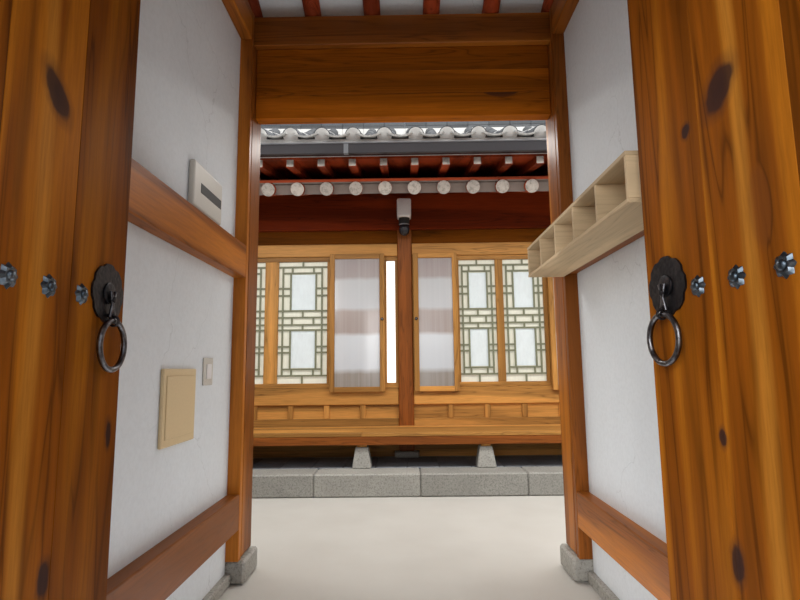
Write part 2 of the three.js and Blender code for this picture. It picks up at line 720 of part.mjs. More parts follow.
// Clear spans along X between neighbouring columns.
const bays = COLUMNS.slice(1).map((x, i) => [COLUMNS[i] + POST / 2, x - POST / 2]);

// The square stones under all columns, widened on every side by a margin.
function columnStones(margin) {
  const half = COLUMN_STONE / 2 + margin;
  const z = [BASE_Z - BITE, COLUMN_STONE_Z + margin];
  const places = COLUMNS.flatMap((x) => [[x, FRONT_POST_Y], [x, REAR_POST_Y]]);
  return places.map(([x, y]) => box([x - half, x + half], [y - half, y + half], z));
}

// Places along X of the stones that carry the porch.
const porchStones = [];
for (let x = PORCH_STONE_X - PORCH_STONE_STEP; x < COLUMNS[3] - PORCH_INSET; x += PORCH_STONE_STEP) {
  porchStones.push(x);
}

// A tapered square stone under the porch's front edge.
function porchStone(x) {
  const wide = Math.SQRT1_2 * PORCH_STONE_FOOT;
  const narrow = Math.SQRT1_2 * PORCH_STONE_TOP;
  const height = PORCH_STONE_Z - BASE_Z + BITE;
  const geometry = new THREE.CylinderGeometry(narrow, wide, height, 4, 1, false, Math.PI / 4);
  geometry.rotateX(Math.PI / 2);
  geometry.translate(x, PORCH_FRONT_Y + PORCH_STONE_SETBACK, PORCH_STONE_Z - height / 2);
  return solid(geometry);
}

// The stone base of the main house, notched where the yard walls run in to the corner posts.
function mainBase() {
  const x = [COLUMNS[0] - BASE_END, COLUMNS[3] + BASE_END];
  const plinth = box(x, [BASE_FRONT_Y, 2 * MAIN_ROOF.ridgeY - BASE_FRONT_Y], [0, BASE_Z]);
  const half = YARD_WALL / 2 + GAP;
  const notches = [COLUMNS[0], COLUMNS[3]].map((c) => box([c - half, c + half], [BASE_FRONT_Y - 1, FRONT_SPAN[0]], [-1, 300]));
  return cut(join([plinth, ...columnStones(0), ...porchStones.map(porchStone)]), notches);
}

// Short posts that divide the sill panel of one bay.
function sillPosts([left, right]) {
  const count = Math.round((right - left) / SILL_POST_STEP);
  const step = (right - left) / count;
  const places = Array.from({ length: count - 1 }, (_, k) => left + (k + 1) * step);
  const z = [LOWER_RAIL_Z[1] - BITE, SILL_Z[0] + BITE];
  return places.map((x) => box([x - SILL_POST / 2, x + SILL_POST / 2], SILL_POST_Y, z));
}

// Posts, rails, sill panels and rafter-carrying beam of the main front.
function frontFrame() {
  const posts = COLUMNS.map((x) => box(postSpan(x), FRONT_SPAN, [COLUMN_STONE_Z, LINTEL_Z[1] + BITE]));
  const beam = alongX(beamOutline(MAIN_ROOF, FRONT_SPAN, LINTEL_Z[1]), PURLIN_X);
  const rails = [
    box(RAIL_X, RAIL_Y, LOWER_RAIL_Z),
    box(RAIL_X, SILL_Y, SILL_Z),
    box(RAIL_X, SILL_Y, [LINTEL_Z[0], LINTEL_TOP]),
    box(RAIL_X, PANEL_Y, [LINTEL_TOP - BITE, LINTEL_Z[1] + BITE]),
    box(RAIL_X, PANEL_Y, [BASE_Z + GAP, SILL_Z[0] + BITE]),
  ];
  return cut(join([...posts, beam, ...rails, ...bays.flatMap(sillPosts)]), columnStones(GAP));
}

// Spans before, within and behind a wall whose plaster runs through its middle.
function wallLayers(centre) {
  const core = WALL_CORE / 2;
  return {
    inner: [centre - POST / 2 + FLUSH_STEP, centre - core - GAP],
    core: [centre - core, centre + core],
    outer: [centre + core + GAP, centre + POST / 2 - FLUSH_STEP],
  };
}

// A span drawn in by a small step at both ends.
function recessed(span) {
  return [span[0] + FLUSH_STEP, span[1] - FLUSH_STEP];
}

// Clear openings of the rear windows, one in the middle of each bay.
const rearWindows = bays.map(([left, right]) => {
  const middle = (left + right) / 2;
  return [middle - REAR_WINDOW / 2, middle + REAR_WINDOW / 2];
});

// Posts, rails and rafter-carrying beam of the rear wall, in two layers about its plaster.
function rearFrame() {
  const layers = wallLayers(REAR_POST_Y);
  const postZ = [COLUMN_STONE_Z, LINTEL_Z[1] + BITE];
  const corners = [COLUMNS[0], COLUMNS[3]].map((x) => box(postSpan(x), REAR_SPAN, postZ));
  const beam = alongX(beamOutline(MAIN_ROOF, REAR_SPAN, LINTEL_Z[1]), PURLIN_X);
  const strips = [layers.inner, layers.outer].flatMap((y) => [
    ...COLUMNS.slice(1, 3).map((x) => box(postSpan(x), y, postZ)),
    box(RAIL_X, recessed(y), [BASE_Z + GAP, GROUND_RAIL_Z]),
    box(RAIL_X, recessed(y), [SILL_Z[1] - REAR_SILL, SILL_Z[1]]),
    box(RAIL_X, recessed(y), [LINTEL_Z[0], LINTEL_TOP]),
  ]);
  return cut(join([...corners, beam, ...strips]), columnStones(GAP));
}

function rearPlaster() {
  const y = wallLayers(REAR_POST_Y).core;
  const wall = box([INNER_X[0] + GAP, INNER_X[1] - GAP], y, [BASE_Z + GAP, LINTEL_Z[1] - GAP]);
  const holes = rearWindows.map((x) => box(x, [y[0] - 1, y[1] + 1], [SILL_Z[1], LINTEL_Z[0]]));
  return cut(wall, [...holes, ...columnStones(GAP)]);
}

// Depth of an end wall between the front and rear posts.
const END_Y = [FRONT_SPAN[1] + GAP, REAR_SPAN[0] - GAP];

// The framing of one end wall: rails and middle post in two layers, tied beside the corner posts.
function endFrame(x) {
  const layers = wallLayers(x);
  const ends = [[END_Y[0], END_Y[0] + END_STRIP], [END_Y[1] - END_STRIP, END_Y[1]]];
  const ties = ends.map((y) => box(postSpan(x), y, [BASE_Z + GAP, END_TIE_Z]));
  const middle = postSpan(MAIN_ROOF.ridgeY);
  const strips = [layers.inner, layers.outer].flatMap((span) => [
    box(span, END_Y, [BASE_Z + GAP, GROUND_RAIL_Z]),
    box(span, END_Y, END_RAIL_Z),
    box(span, END_Y, END_BEAM_Z),
    box(recessed(span), middle, [BASE_Z + GAP + FLUSH_STEP, purlinLowZ(MAIN_ROOF, PURLIN_DEPTH) - GAP]),
  ]);
  return cut(join([...ties, ...strips]), columnStones(GAP));
}

function endPlaster(x) {
  const inset = END_STRIP + GAP;
  return gablePlaster(MAIN_ROOF, wallLayers(x).core, [END_Y[0] + inset, END_Y[1] - inset], BASE_Z + GAP);
}

// Crossbeams over the inner columns, their king posts and the ridge purlin.
function roofBeams() {
  const inner = COLUMNS.slice(1, 3);
  const crossbeams = inner.map((x) => box(postSpan(x), END_Y, CROSS_BEAM_Z));
  const postZ = [CROSS_BEAM_Z[1] - BITE, purlinLowZ(MAIN_ROOF, PURLIN_DEPTH) + BITE];
  const kingPosts = inner.map((x) => box(postSpan(x), postSpan(MAIN_ROOF.ridgeY), postZ));
  return join([...crossbeams, ...kingPosts, ridgePurlin(MAIN_ROOF, PURLIN_HALF, PURLIN_DEPTH, PURLIN_X)]);
}

// The raised, heated floor: one mass on the base, fitted around the posts.
function mainFloor() {
  const mass = box([INNER_X[0] + GAP, INNER_X[1] - GAP], [SILL_Y[1] + GAP, END_Y[1]], [BASE_Z + GAP, FLOOR_TOP]);
  const margin = POST / 2 + GAP;
  const frontPosts = COLUMNS.map((x) => box([x - margin, x + margin], [FRONT_SPAN[0], FRONT_SPAN[1] + GAP], [0, PORCH_Z]));
  return cut(mass, [...frontPosts, ...columnStones(GAP)]);
}

// The porch: floor boards on edge beams and joists, with a short leg on each stone.
function porch() {
  const x = [COLUMNS[0] + PORCH_INSET, COLUMNS[3] - PORCH_INSET];
  const y = [PORCH_FRONT_Y, FRONT_SPAN[0] - GAP];
  const beamZ = [PORCH_EDGE_Z, PORCH_Z - BITE];
  const legY = PORCH_FRONT_Y + PORCH_STONE_SETBACK;
  const joists = porchStones.map((c) => box([c - 40, c + 40], y, [PORCH_EDGE_Z + 20, PORCH_Z - BITE]));
  const legs = porchStones.map((c) => box([c - 45, c + 45], [legY - 45, legY + 45], [PORCH_STONE_Z + GAP, PORCH_Z - BITE]));
  const boards = box(x, y, [PORCH_Z - PORCH_BOARD, PORCH_Z]);
  const front = box(x, [y[0], y[0] + PORCH_BEAM], beamZ);
  const rear = box(x, [y[1] - PORCH_BEAM, y[1]], beamZ);
  return join([boards, front, rear, ...joists, ...legs]);
}

// A rectangular pane field: a recess cut into one face of a sash.
function recess(x, y, z, rim) {
  return box([x[0] + rim, x[1] - rim], y, [z[0] + rim, z[1] - rim]);
}

// Splits a span into equal sashes.
function sashes([left, right], count) {
  const width = (right - left) / count;
  return Array.from({ length: count }, (_, k) => [left + k * width, left + (k + 1) * width]);
}

// A window unit: a frame with lattice sashes, and a glazed leaf standing proud at each end.
function frontWindow([left, right], { side, width }) {
  const z = [SILL_Z[1] + GAP, LINTEL_Z[0] - GAP];
  const frame = box([left + GAP, right - GAP], WINDOW_Y, z);
  const leaves = [[left + side, left + side + width], [right - side - width, right - side]];
  const middle = [leaves[0][1] + LEAF_RIM / 2, leaves[1][0] - LEAF_RIM / 2];
  const proud = leaves.map((x) => box(x, PROUD_Y, PROUD_Z));
  const links = leaves.map((x) => box(x, [PROUD_Y[1] - BITE, WINDOW_Y[0] + BITE], z));
  const fields = [
    ...leaves.map((x) => recess(x, [PROUD_Y[0] - 1, PROUD_Y[0] + PANE_DEPTH], PROUD_Z, LEAF_RIM)),
    ...leaves.map((x) => recess(x, [WINDOW_Y[1] - PANE_DEPTH, WINDOW_Y[1] + 1], z, LEAF_RIM)),
    ...sashes(middle, 2).flatMap((x) => [
      recess(x, [WINDOW_Y[0] - 1, WINDOW_Y[0] + PANE_DEPTH], z, LEAF_RIM),
      recess(x, [WINDOW_Y[1] - PANE_DEPTH, WINDOW_Y[1] + 1], z, LEAF_RIM),
    ]),
  ];
  return cut(join([frame, ...proud, ...links]), fields);
}

// A plain two-sash window in the rear wall.
function rearWindow(x) {
  const y = [REAR_POST_Y - REAR_SASH / 2, REAR_POST_Y + REAR_SASH / 2];
  const z = [SILL_Z[1] + GAP, LINTEL_Z[0] - GAP];
  const clear = [x[0] + GAP, x[1] - GAP];
  const fields = sashes(clear, 2).flatMap((span) => [
    recess(span, [y[0] - 1, y[0] + PANE_DEPTH], z, LEAF_RIM),
    recess(span, [y[1] - PANE_DEPTH, y[1] + 1], z, LEAF_RIM),
  ]);
  return cut(box(clear, y, z), fields);
}

// The white housing on the front beam with a round lens cover below it.
function porchLamp() {
  const y = [FRONT_SPAN[0] - LAMP_DEPTH, FRONT_SPAN[0] - GAP];
  const middle = (y[0] + y[1]) / 2;
  const housing = box([-LAMP_HALF, LAMP_HALF], y, LAMP_Z);
  const neck = pillar(0, middle, [LAMP_Z[0] - LAMP_NECK, LAMP_Z[0] + BITE], LAMP_RADIUS, 16);
  const dome = new THREE.SphereGeometry(LAMP_RADIUS, 16, 8);
  dome.rotateX(Math.PI / 2);
  dome.translate(0, middle, LAMP_Z[0] - LAMP_NECK);
  return join([housing, neck, solid(dome)]);
}

// Places of the rafters over the main house.
const mainRafters = Array.from({ length: MAIN_RAFTER_COUNT }, (_, k) => MAIN_RAFTER_X + k * MAIN_RAFTER_STEP);

// Height of the flying rafters' middle line.
function flyingZ(distance, offset) {
  return FLYING_Z + FLYING_RISE * (FLYING_TIP - distance) + offset;
}

// Where a line above the flying rafters' middle meets the boards on the rafters below.
function flyingMeets(offset) {
  const roof = MAIN_ROOF;
  const atRidge = deckTopZ(roof, 0) + GAP;
  return (atRidge - flyingZ(0, offset)) / (roof.rise - FLYING_RISE);
}

const FLYING_TAIL = flyingMeets(FLYING_SIZE / 2) + 50;
const FLYING_BOARD_END = FLYING_TIP - 10;

// The wedge-shaped flying rafters of one slope with the boards on them.
function flyingRafters(side) {
  const roof = MAIN_ROOF;
  const half = FLYING_SIZE / 2;
  const heel = flyingMeets(-half);
  const at = (d, z) => [slopeY(roof, side, d), z];
  const wedge = [
    at(FLYING_TAIL, deckTopZ(roof, FLYING_TAIL) + GAP),
    at(heel, deckTopZ(roof, heel) + GAP),
    at(FLYING_TIP, flyingZ(FLYING_TIP, -half)),
    at(FLYING_TIP, flyingZ(FLYING_TIP, half)),
    at(FLYING_TAIL, flyingZ(FLYING_TAIL, half)),
  ];
  const boards = [
    at(FLYING_TAIL, flyingZ(FLYING_TAIL, half - BITE)),
    at(FLYING_BOARD_END, flyingZ(FLYING_BOARD_END, half - BITE)),
    at(FLYING_BOARD_END, flyingZ(FLYING_BOARD_END, half + FLYING_BOARD)),
    at(FLYING_TAIL, flyingZ(FLYING_TAIL, half + FLYING_BOARD)),
  ];
  const wedges = mainRafters.map((x) => alongX(wedge, [x - half, x + half]));
  return join([alongX(boards, [roof.left + DECK_SETBACK, roof.right - DECK_SETBACK]), ...wedges]);
}

function mainRoof(side) {
  const near = GAP / 2;
  const top = (d) => flyingZ(d, FLYING_SIZE / 2 + FLYING_BOARD) + GAP;
  const tail = FLYING_TAIL - GAP;
  const underside = [
    [near, deckTopZ(MAIN_ROOF, near) + GAP],
    [tail, deckTopZ(MAIN_ROOF, tail) + GAP],
    [tail, top(tail)],
    [FLYING_BOARD_END, top(FLYING_BOARD_END)],
    [FLYING_BOARD_END, GUTTER_Z],
    [MAIN_ROOF.eave, GUTTER_Z],
  ];
  return tiledSlope(MAIN_ROOF, side, GUTTER_Z, underside);
}

// The outline of a yard wall's sloped coping, across the wall.
function copingOutline(middle) {
  const reach = YARD_WALL / 2 + COPING_OVERHANG;
  return [
    [middle - reach, YARD_WALL_Z],
    [middle + reach, YARD_WALL_Z],
    [middle + reach, COPING_EDGE_Z],
    [middle, COPING_RIDGE_Z],
    [middle - reach, COPING_EDGE_Z],
  ];
}

// The wall along the street, from the gate post to the outer corner.
function streetWall(side) {
  const half = YARD_WALL / 2;
  const corner = side < 0 ? -COLUMNS[0] : COLUMNS[3];
  const near = PASSAGE_HALF + GATE_POST + GAP;
  const wall = box(outward(side, near, corner + half), [STREET_WALL_Y - half, STREET_WALL_Y + half], [0, YARD_WALL_Z + BITE]);
  const coping = alongX(copingOutline(STREET_WALL_Y), outward(side, near, corner + half + COPING_OVERHANG));
  return cut(join([wall, coping]), [footStone(side, NEAR_POST_Y, GAP)]);
}

// The wall from the street wall back to the main house's corner post.
function sideWall(x) {
  const half = YARD_WALL / 2;
  const start = STREET_WALL_Y + half + GAP;
  const copingStart = start + COPING_OVERHANG;
  const end = FRONT_SPAN[0] - GAP;
  const wall = box([x - half, x + half], [start, end], [0, YARD_WALL_Z - GAP]);
  const headX = [x - half + FLUSH_STEP, x + half - FLUSH_STEP];
  const head = box(headX, [copingStart + FLUSH_STEP, end - FLUSH_STEP], [YARD_WALL_Z - BITE, YARD_WALL_Z + BITE]);
  const coping = alongY(copingOutline(x), [copingStart, FRONT_SPAN[0] - COPING_STOP]);
  return join([wall, head, coping]);
}

add('main_base', mainBase(), 'stone');
add('main_floor', mainFloor(), 'stone');
add('main_front_frame', frontFrame(), 'pine');
add('main_rear_frame', rearFrame(), 'pine');
add('main_rear_plaster', rearPlaster(), 'plaster');
add('main_roof_beams', roofBeams(), 'darkPine');
add('porch', porch(), 'pine');
add('porch_lamp', porchLamp(), 'housing');
bays.forEach((bay, i) => add(`front_window_${i + 1}`, frontWindow(bay, BAY_LEAVES[i]), 'pine'));
rearWindows.forEach((x, i) => add(`rear_window_${i + 1}`, rearWindow(x), 'pine'));
for (const [side, name] of [[-1, 'front'], [1, 'rear']]) {
  add(`main_rafters_${name}`, rafterSlope(MAIN_ROOF, side, mainRafters), 'darkPine');
  add(`flying_rafters_${name}`, flyingRafters(side), 'darkPine');
  add(`main_roof_${name}`, mainRoof(side), 'tile');
}
add('main_ridge', ridge(MAIN_ROOF, GUTTER_Z, RIDGE_HEIGHT.main), 'tile');
const mainBarge = bargeboards(MAIN_ROOF, [0, BARGE_THICK], BARGE_DROP);
add('main_left_bargeboards', mainBarge, 'darkPine').position.x = MAIN_ROOF.left - GAP - BARGE_THICK;
add('main_right_bargeboards', mainBarge, 'darkPine').position.x = MAIN_ROOF.right + GAP;
for (const [side, x] of [[-1, COLUMNS[0]], [1, COLUMNS[3]]]) {
  const name = SIDE_NAME[side];
  add(`main_${name}_frame`, endFrame(x), 'pine');
  add(`main_${name}_plaster`, endPlaster(x), 'plaster');
  add(`${name}_street_wall`, streetWall(side), 'plaster');
  add(`${name}_yard_wall`, sideWall(x), 'plaster');
}

// The origin is on the ground under the middle of the whole, between the outermost roof edges.
const middleX = (MAIN_ROOF.left + MAIN_ROOF.right) / 2;
const frontEave = GATE_ROOF.ridgeY - GATE_ROOF.eave;
const rearEave = MAIN_ROOF.ridgeY + MAIN_ROOF.eave;
house.position.set(-middleX, -(frontEave + rearEave) / 2, 0);

export default house;
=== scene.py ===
"""Builds the timber, tile, plaster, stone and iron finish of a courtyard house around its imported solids.

Lengths are in metres. Places are measured from the middle of the gate passage at its yard end, with +X to
the right and +Y towards the main house, and each finished piece is then moved to the house's own origin.
"""

import math
import random

import bpy
from bpy.props import FloatProperty, FloatVectorProperty, IntProperty, PointerProperty
from mathutils import Matrix, Vector


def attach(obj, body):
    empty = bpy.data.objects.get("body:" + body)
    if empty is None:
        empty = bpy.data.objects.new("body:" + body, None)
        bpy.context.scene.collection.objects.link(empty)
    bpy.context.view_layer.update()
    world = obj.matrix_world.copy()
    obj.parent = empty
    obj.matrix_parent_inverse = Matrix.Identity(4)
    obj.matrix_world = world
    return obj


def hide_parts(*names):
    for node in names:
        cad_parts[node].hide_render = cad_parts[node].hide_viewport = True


bl_info = {
    "name": "Hanok House",
    "version": (1, 0, 0),
    "blender": (4, 5, 0),
    "location": "View3D > Sidebar > Hanok",
    "description": "Timber, roof tiles, plaster, stone and iron for a courtyard house",
    "category": "Object",
}

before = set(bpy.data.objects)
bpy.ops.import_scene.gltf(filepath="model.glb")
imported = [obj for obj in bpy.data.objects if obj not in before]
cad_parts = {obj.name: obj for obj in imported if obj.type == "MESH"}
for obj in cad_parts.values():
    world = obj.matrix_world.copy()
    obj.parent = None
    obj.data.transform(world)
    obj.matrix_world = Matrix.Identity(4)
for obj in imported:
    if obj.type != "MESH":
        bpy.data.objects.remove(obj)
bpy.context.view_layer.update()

# Where the passage's middle lies in the house's own frame
HOME = Vector((-1.075, -2.05, 0.0))
# Play between a piece and what it stands against
GAP = 0.0003
SEED = 7
RIGHT_ANGLE = math.radians(90)
ALONG_X = (0, RIGHT_ANGLE, 0)
ALONG_Y = (RIGHT_ANGLE, 0, 0)
SIDE_NAMES = {-1: "left", 1: "right"}
SLOPE_NAMES = {-1: "front", 1: "rear"}

# Gatehouse
PASSAGE_HALF = 0.9
GATE_POST = 0.2
POST_FACES = (PASSAGE_HALF, PASSAGE_HALF + GATE_POST)
NEAR_POST_Y = -2.45
FOOT_STONE_TOP = 0.12
WALL_FACE = 0.97
WALL_CORE = 0.06
TIE = 0.04
RAIL_HEIGHTS = [(0.28, 0.465), (1.644, 1.83), (3.1, 3.28)]
BEAM_LOW = 3.1
GATE_BEAM_ENDS = (-1.43, 1.43)
BOARDS_ACROSS = 3
LINTEL_BOARDS_LOW = 2.645
DOOR_FRAME_Y = (-2.4, -2.29)
DOOR_HALF = 0.8
DOOR_HEAD = (2.35, 2.5)
THRESHOLD = 0.25
PIVOT = Vector((0.825, -2.255, 0.0))
PIVOT_BLOCK_HALF, PIVOT_BLOCK_HEIGHT, PIVOT_HOLE = 0.05, 0.1, 0.0165

# Gate leaves, closed, with the hinge at the origin and the street side towards -Y
LEAF_LOW, LEAF_HIGH = 0.255, 2.345
LEAF_REACH = 0.822
LEAF_HALF = 0.025
BATTEN_FEET = (0.6, 1.29, 2.06)
BATTEN_HEIGHT, BATTEN_DEPTH = 0.11, 0.035
PEG_RADIUS, PEG_REACH, PEG_ROOT = 0.015, 0.035, 0.1
OPEN_ANGLES = {-1: math.radians(92.7), 1: math.radians(-84)}
HANDLE_BACK = 0.1
PLATE_Z, PLATE_RADIUS = 1.34, 0.083
EYE_Z, BAR_Y = 1.262, -0.0493
EYE_MEAN, EYE_WIRE = 0.0130, 0.0036
RING_MEAN, RING_WIRE = 0.067, 0.008
PRONG_LEAN = 0.3
STUD_Z = 1.32
STUD_BACKS = (0.225, 0.36, 0.495, 0.63, 0.765)
STUD_PETALS = 8
# Knots of the open leaves: middle, half sizes and lean
LEAF_KNOTS = [
    ((-0.82, -1.812, 1.78), (0.2, 0.040, 0.068), 0.75), ((-0.83, -1.48, 0.95), (0.2, 0.016, 0.038), 0.0),
    ((-0.82, -1.732, 0.66), (0.2, 0.022, 0.042), 0.1), ((0.75, -1.795, 1.775), (0.2, 0.042, 0.066), 0.7),
    ((0.75, -1.664, 1.73), (0.2, 0.016, 0.022), 0.0), ((0.75, -1.708, 0.95), (0.2, 0.013, 0.024), 0.0),
    ((0.75, -1.718, 0.675), (0.2, 0.020, 0.044), 0.1),
]
LEAF_STREAK_Y = -1.84
LEAF_STREAK = (0.50, 0.20, 0.025)

# Fittings on the passage walls: spans on each axis, finish, edge and its segments
SHELF = ((0.70, 0.8994), (-1.38, -0.02), (1.63, 1.80))
SHELF_BOARD, SHELF_BAYS = 0.015, 5
COVER_BACK = -WALL_FACE + GAP
WALL_COVERS = {
    "passage_wall_box": [
        ((COVER_BACK, -0.955), (-0.888, -0.563), (0.822, 1.134), "beige", 0.004),
        ((-0.9555, -0.951), (-0.862, -0.589), (0.852, 1.104), "beige", 0.002),
    ],
    "passage_wall_unit": [
        ((COVER_BACK, -0.940), (-0.71, -0.345), (1.862, 2.078), "cream", 0.012, 3),
        # Painted shade: the slot is a flat dark sheet on the cover, for the shade inside the slot's opening
        ((-0.942, -0.9385), (-0.63, -0.365), (1.943, 1.99), "slot", 0.001),
    ],
    "passage_switch_plate": [
        ((COVER_BACK, -0.962), (-0.455, -0.335), (1.055, 1.187), "cream", 0.003),
        ((-0.963, -0.957), (-0.425, -0.365), (1.085, 1.157), "housing", 0.002),
    ],
}

# Main house
COLUMNS = [-2.9, 0.0, 2.15, 5.05]
POST = 0.16
FRONT_Y = 2.88
REAR_Y = 5.78
RIDGE_Y = 4.33
MAIN_MIDDLE = 1.075
MAIN_BEAM_ENDS = (-3.4, 5.55)
BASE_TOP = 0.2
COLUMN_FOOT = 0.26
BASE_FRONT = 1.89
BASE_BACK = 6.77
BASE_EDGE = 0.30
BASE_WIDTHS = [(-3.3, -3.0506), (-2.7494, 4.8994), (5.2006, 5.45)]
FLOOR_RAIL = (0.5, 0.6)
SILL = (0.745, 0.93)
REAR_SILL = (0.81, 0.93)
LINTEL = (2.38, 2.52)
PANEL_TOP = 2.68
FRONT_PANEL_Y = (2.845, 2.895)
FRONT_RAIL_Y = (2.815, 2.925)
REAR_LAYERS = ((5.701, 5.7497), (5.8103, 5.859))
END_WALL_Y = (2.9603, 5.6997)
END_LAYERS = ((-0.079, -0.0303), (0.0303, 0.079))
FOOT_RAIL_TOP = 0.38
END_RAILS = ((BASE_TOP + GAP, FOOT_RAIL_TOP), (1.1, 1.22), (2.68, 2.86))
WALK_BACK = 2.80
PORCH_X = (-2.69, 4.84)
PORCH_TOP = 0.525
PORCH_LOW = 0.415
PORCH_FRONT, PORCH_BACK = 2.14, 2.7997
BOARD_LOW, BEAM_TOP = 0.495, 0.4948
PORCH_STONES = [-1.61 + 1.18 * k for k in range(6)]
PORCH_STONE_Y, PORCH_STONE_TOP = 2.235, 0.39
LAMP_Y = 2.715

# Roofs: distances run from the ridge line towards the eave
GATE_ROOF = {
    "ridge_y": -1.125, "ridge_z": 3.724, "rise": 0.33, "flat": 0.052, "deck": 0.022, "tip": 1.925,
    "eave": 1.985, "eave_z": 3.1735, "left": -1.56, "right": 1.56, "edge": 0.11, "pitch": 0.30,
    "swell": 0.10, "lift": 0.06, "columns": 12, "ridge_height": 0.25, "ridge_courses": 4,
}
MAIN_ROOF = {
    "ridge_y": 4.33, "ridge_z": 3.721, "rise": 0.36, "flat": 0.064, "deck": 0.024, "tip": 2.53,
    "eave": 2.88, "eave_z": 3.0, "left": -3.55, "right": 5.7, "edge": 0.13, "pitch": 0.34,
    "swell": 0.14, "lift": 0.11, "columns": 34, "ridge_height": 0.34, "ridge_courses": 6,
}
GATE_RAFTERS = [0.37 * (k - 3.5) for k in range(8)]
MAIN_RAFTERS = [-3.2 + 0.275 * k for k in range(32)]
ROUND_TILE_RAISED, HOLLOW_TILE_RAISED = 0.036, 0.020
HOLLOW_TILE_EASE = 0.085

# Gutter under the main eave: depth and height of its three sides, and where its brackets stand
GUTTER_SIDES = [
    ((1.413, 1.419), (2.995, 3.088)), ((1.420, 1.4485), (2.995, 3.001)), ((1.443, 1.4492), (3.002, 3.088)),
]
GUTTER_BRACKETS = (-3.53, -0.5, 2.55, 5.68)

# Windows: glazed leaves and lattice openings of each bay, and the lattice in shares of an opening
SASH_Y = (2.835, 2.905)
SASH_Z = (0.98, 2.33)
PAPER_Y = (2.865, 2.871)
GLASS_LEAF_Y, GLASS_LEAF_Z, GLASS_LEAF_RIM = (2.77, 2.812), (0.885, 2.40), 0.055
REAR_SASH_Y, REAR_SASH_Z, REAR_SASH_RIM = (5.7303, 5.8297), (0.9306, 2.3794), 0.05
PULL_Z = 1.67
WINDOW_LEAVES = [
    ((-2.674, -2.07), (-0.83, -0.226)), ((0.092, 0.576), (1.574, 2.058)), ((2.376, 2.98), (4.22, 4.824)),
]
WINDOW_OPENINGS = [
    ((-2.045, -1.56), (-1.41, -0.866)), ((0.601, 1.005), (1.09, 1.53)), ((3.04, 3.53), (3.65, 4.16)),
]
LATTICE_PANES = [(0.107, 0.40), (0.575, 0.873)]
LATTICE_UPRIGHTS = [
    (0.09, 0.044, 0.937), (0.89, 0.044, 0.937), (0.25, 0.095, 0.409), (0.77, 0.095, 0.409),
    (0.25, 0.567, 0.885), (0.77, 0.567, 0.885), (0.5, 0.0, 0.044), (0.28, 0.044, 0.095),
    (0.72, 0.044, 0.095), (0.5, 0.409, 0.464), (0.28, 0.464, 0.524), (0.72, 0.464, 0.524),
    (0.5, 0.524, 0.567), (0.28, 0.885, 0.937), (0.72, 0.885, 0.937), (0.5, 0.937, 1.0),
]
LATTICE_LEVELS = [
    *[(level, 0.0, 1.0) for level in (0.044, 0.409, 0.464, 0.524, 0.567, 0.937)],
    (0.095, 0.09, 0.89), (0.885, 0.09, 0.89),
    *[(level, *side) for level in (0.222, 0.282, 0.702, 0.75) for side in ((0.0, 0.25), (0.77, 1.0))],
]

# Yard walls: their courses of stone, and the slope and the tiles of their coping
STREET_WALL_Y = -2.35
WALL_STONE, WALL_STONE_RISE, WALL_COURSES = 0.19, 0.187, 4
WALL_STONE_Y = 0.148
COPING_SLOPE = math.atan(0.24 / 0.29)
COPING_MIDDLE = (0, -0.152, 2.044)
COPING_CAP_Z = 2.185
NO_STOP = 9

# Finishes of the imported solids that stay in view
NODE_FINISHES = {
    "plaster": [
        "passage_left_plaster", "passage_right_plaster", "main_rear_plaster", "main_left_plaster",
        "main_right_plaster", "left_street_wall", "right_street_wall", "left_yard_wall", "right_yard_wall",
    ],
    "floor_paper": ["main_floor"],
    "dark_X": ["gate_ridge_purlin", "main_roof_beams"],
    "dark_Y": [
        "flying_rafters_front", "flying_rafters_rear", "gate_left_bargeboards", "gate_right_bargeboards",
        "main_left_bargeboards", "main_right_bargeboards",
    ],
    "bed": ["gate_roof_front", "gate_roof_rear", "main_roof_front", "main_roof_rear"],
}
KNOT_COLOUR = (0.035, 0.018, 0.016)

# Stage, in the house's own frame: the camera of the gate view, and each light's place, aim, size and power
CAMERA_PLACE = (-1.075, -5.04, 1.12)
CAMERA_TURN = (97.48, 0.63, 0.64)
CAMERA_LENS = 23.85
SKY = (0.92, 0.95, 1.0, 1)
SKY_STRENGTH = 0.8
LIGHTS = {
    "yard_light": ((0.0, -1.2, 9.0), (0.0, 0.2, 0.0), (6.0, 6.0), 600, (1.0, 0.98, 0.94)),
    "court_light": ((0.0, -0.95, 2.9), (0.0, -0.7, 0.0), (8.0, 0.5), 105, (1.0, 0.97, 0.92)),
    "bounce_light": ((-1.075, -2.85, 0.04), (-1.075, -2.84, 3.0), (1.5, 1.6), 6.5, (0.95, 0.97, 1.0)),
    "ceiling_light": ((-1.075, -2.8, 1.7), (-1.075, -2.2, 2.9), (1.4, 1.0), 2.5, (0.97, 0.98, 1.0)),
    "front_light": ((-3.6, -9.0, 3.0), (-0.5, -3.0, 1.4), (4.0, 4.0), 72, (1.0, 0.98, 0.96), 90),
    "side_light": ((9.0, -8.0, 8.0), (0.0, 0.0, 1.0), (6.0, 6.0), 260),
    "rear_light": ((-6.0, 12.0, 8.0), (0.0, 2.0, 1.5), (6.0, 6.0), 300),
}

draw = random.Random(SEED)
materials = {}


def length(name, description, default):
    return FloatProperty(name=name, description=description, default=default, unit="LENGTH")


def tint(name, description, default):
    return FloatVectorProperty(name=name, description=description, default=default, subtype="COLOR", size=3)


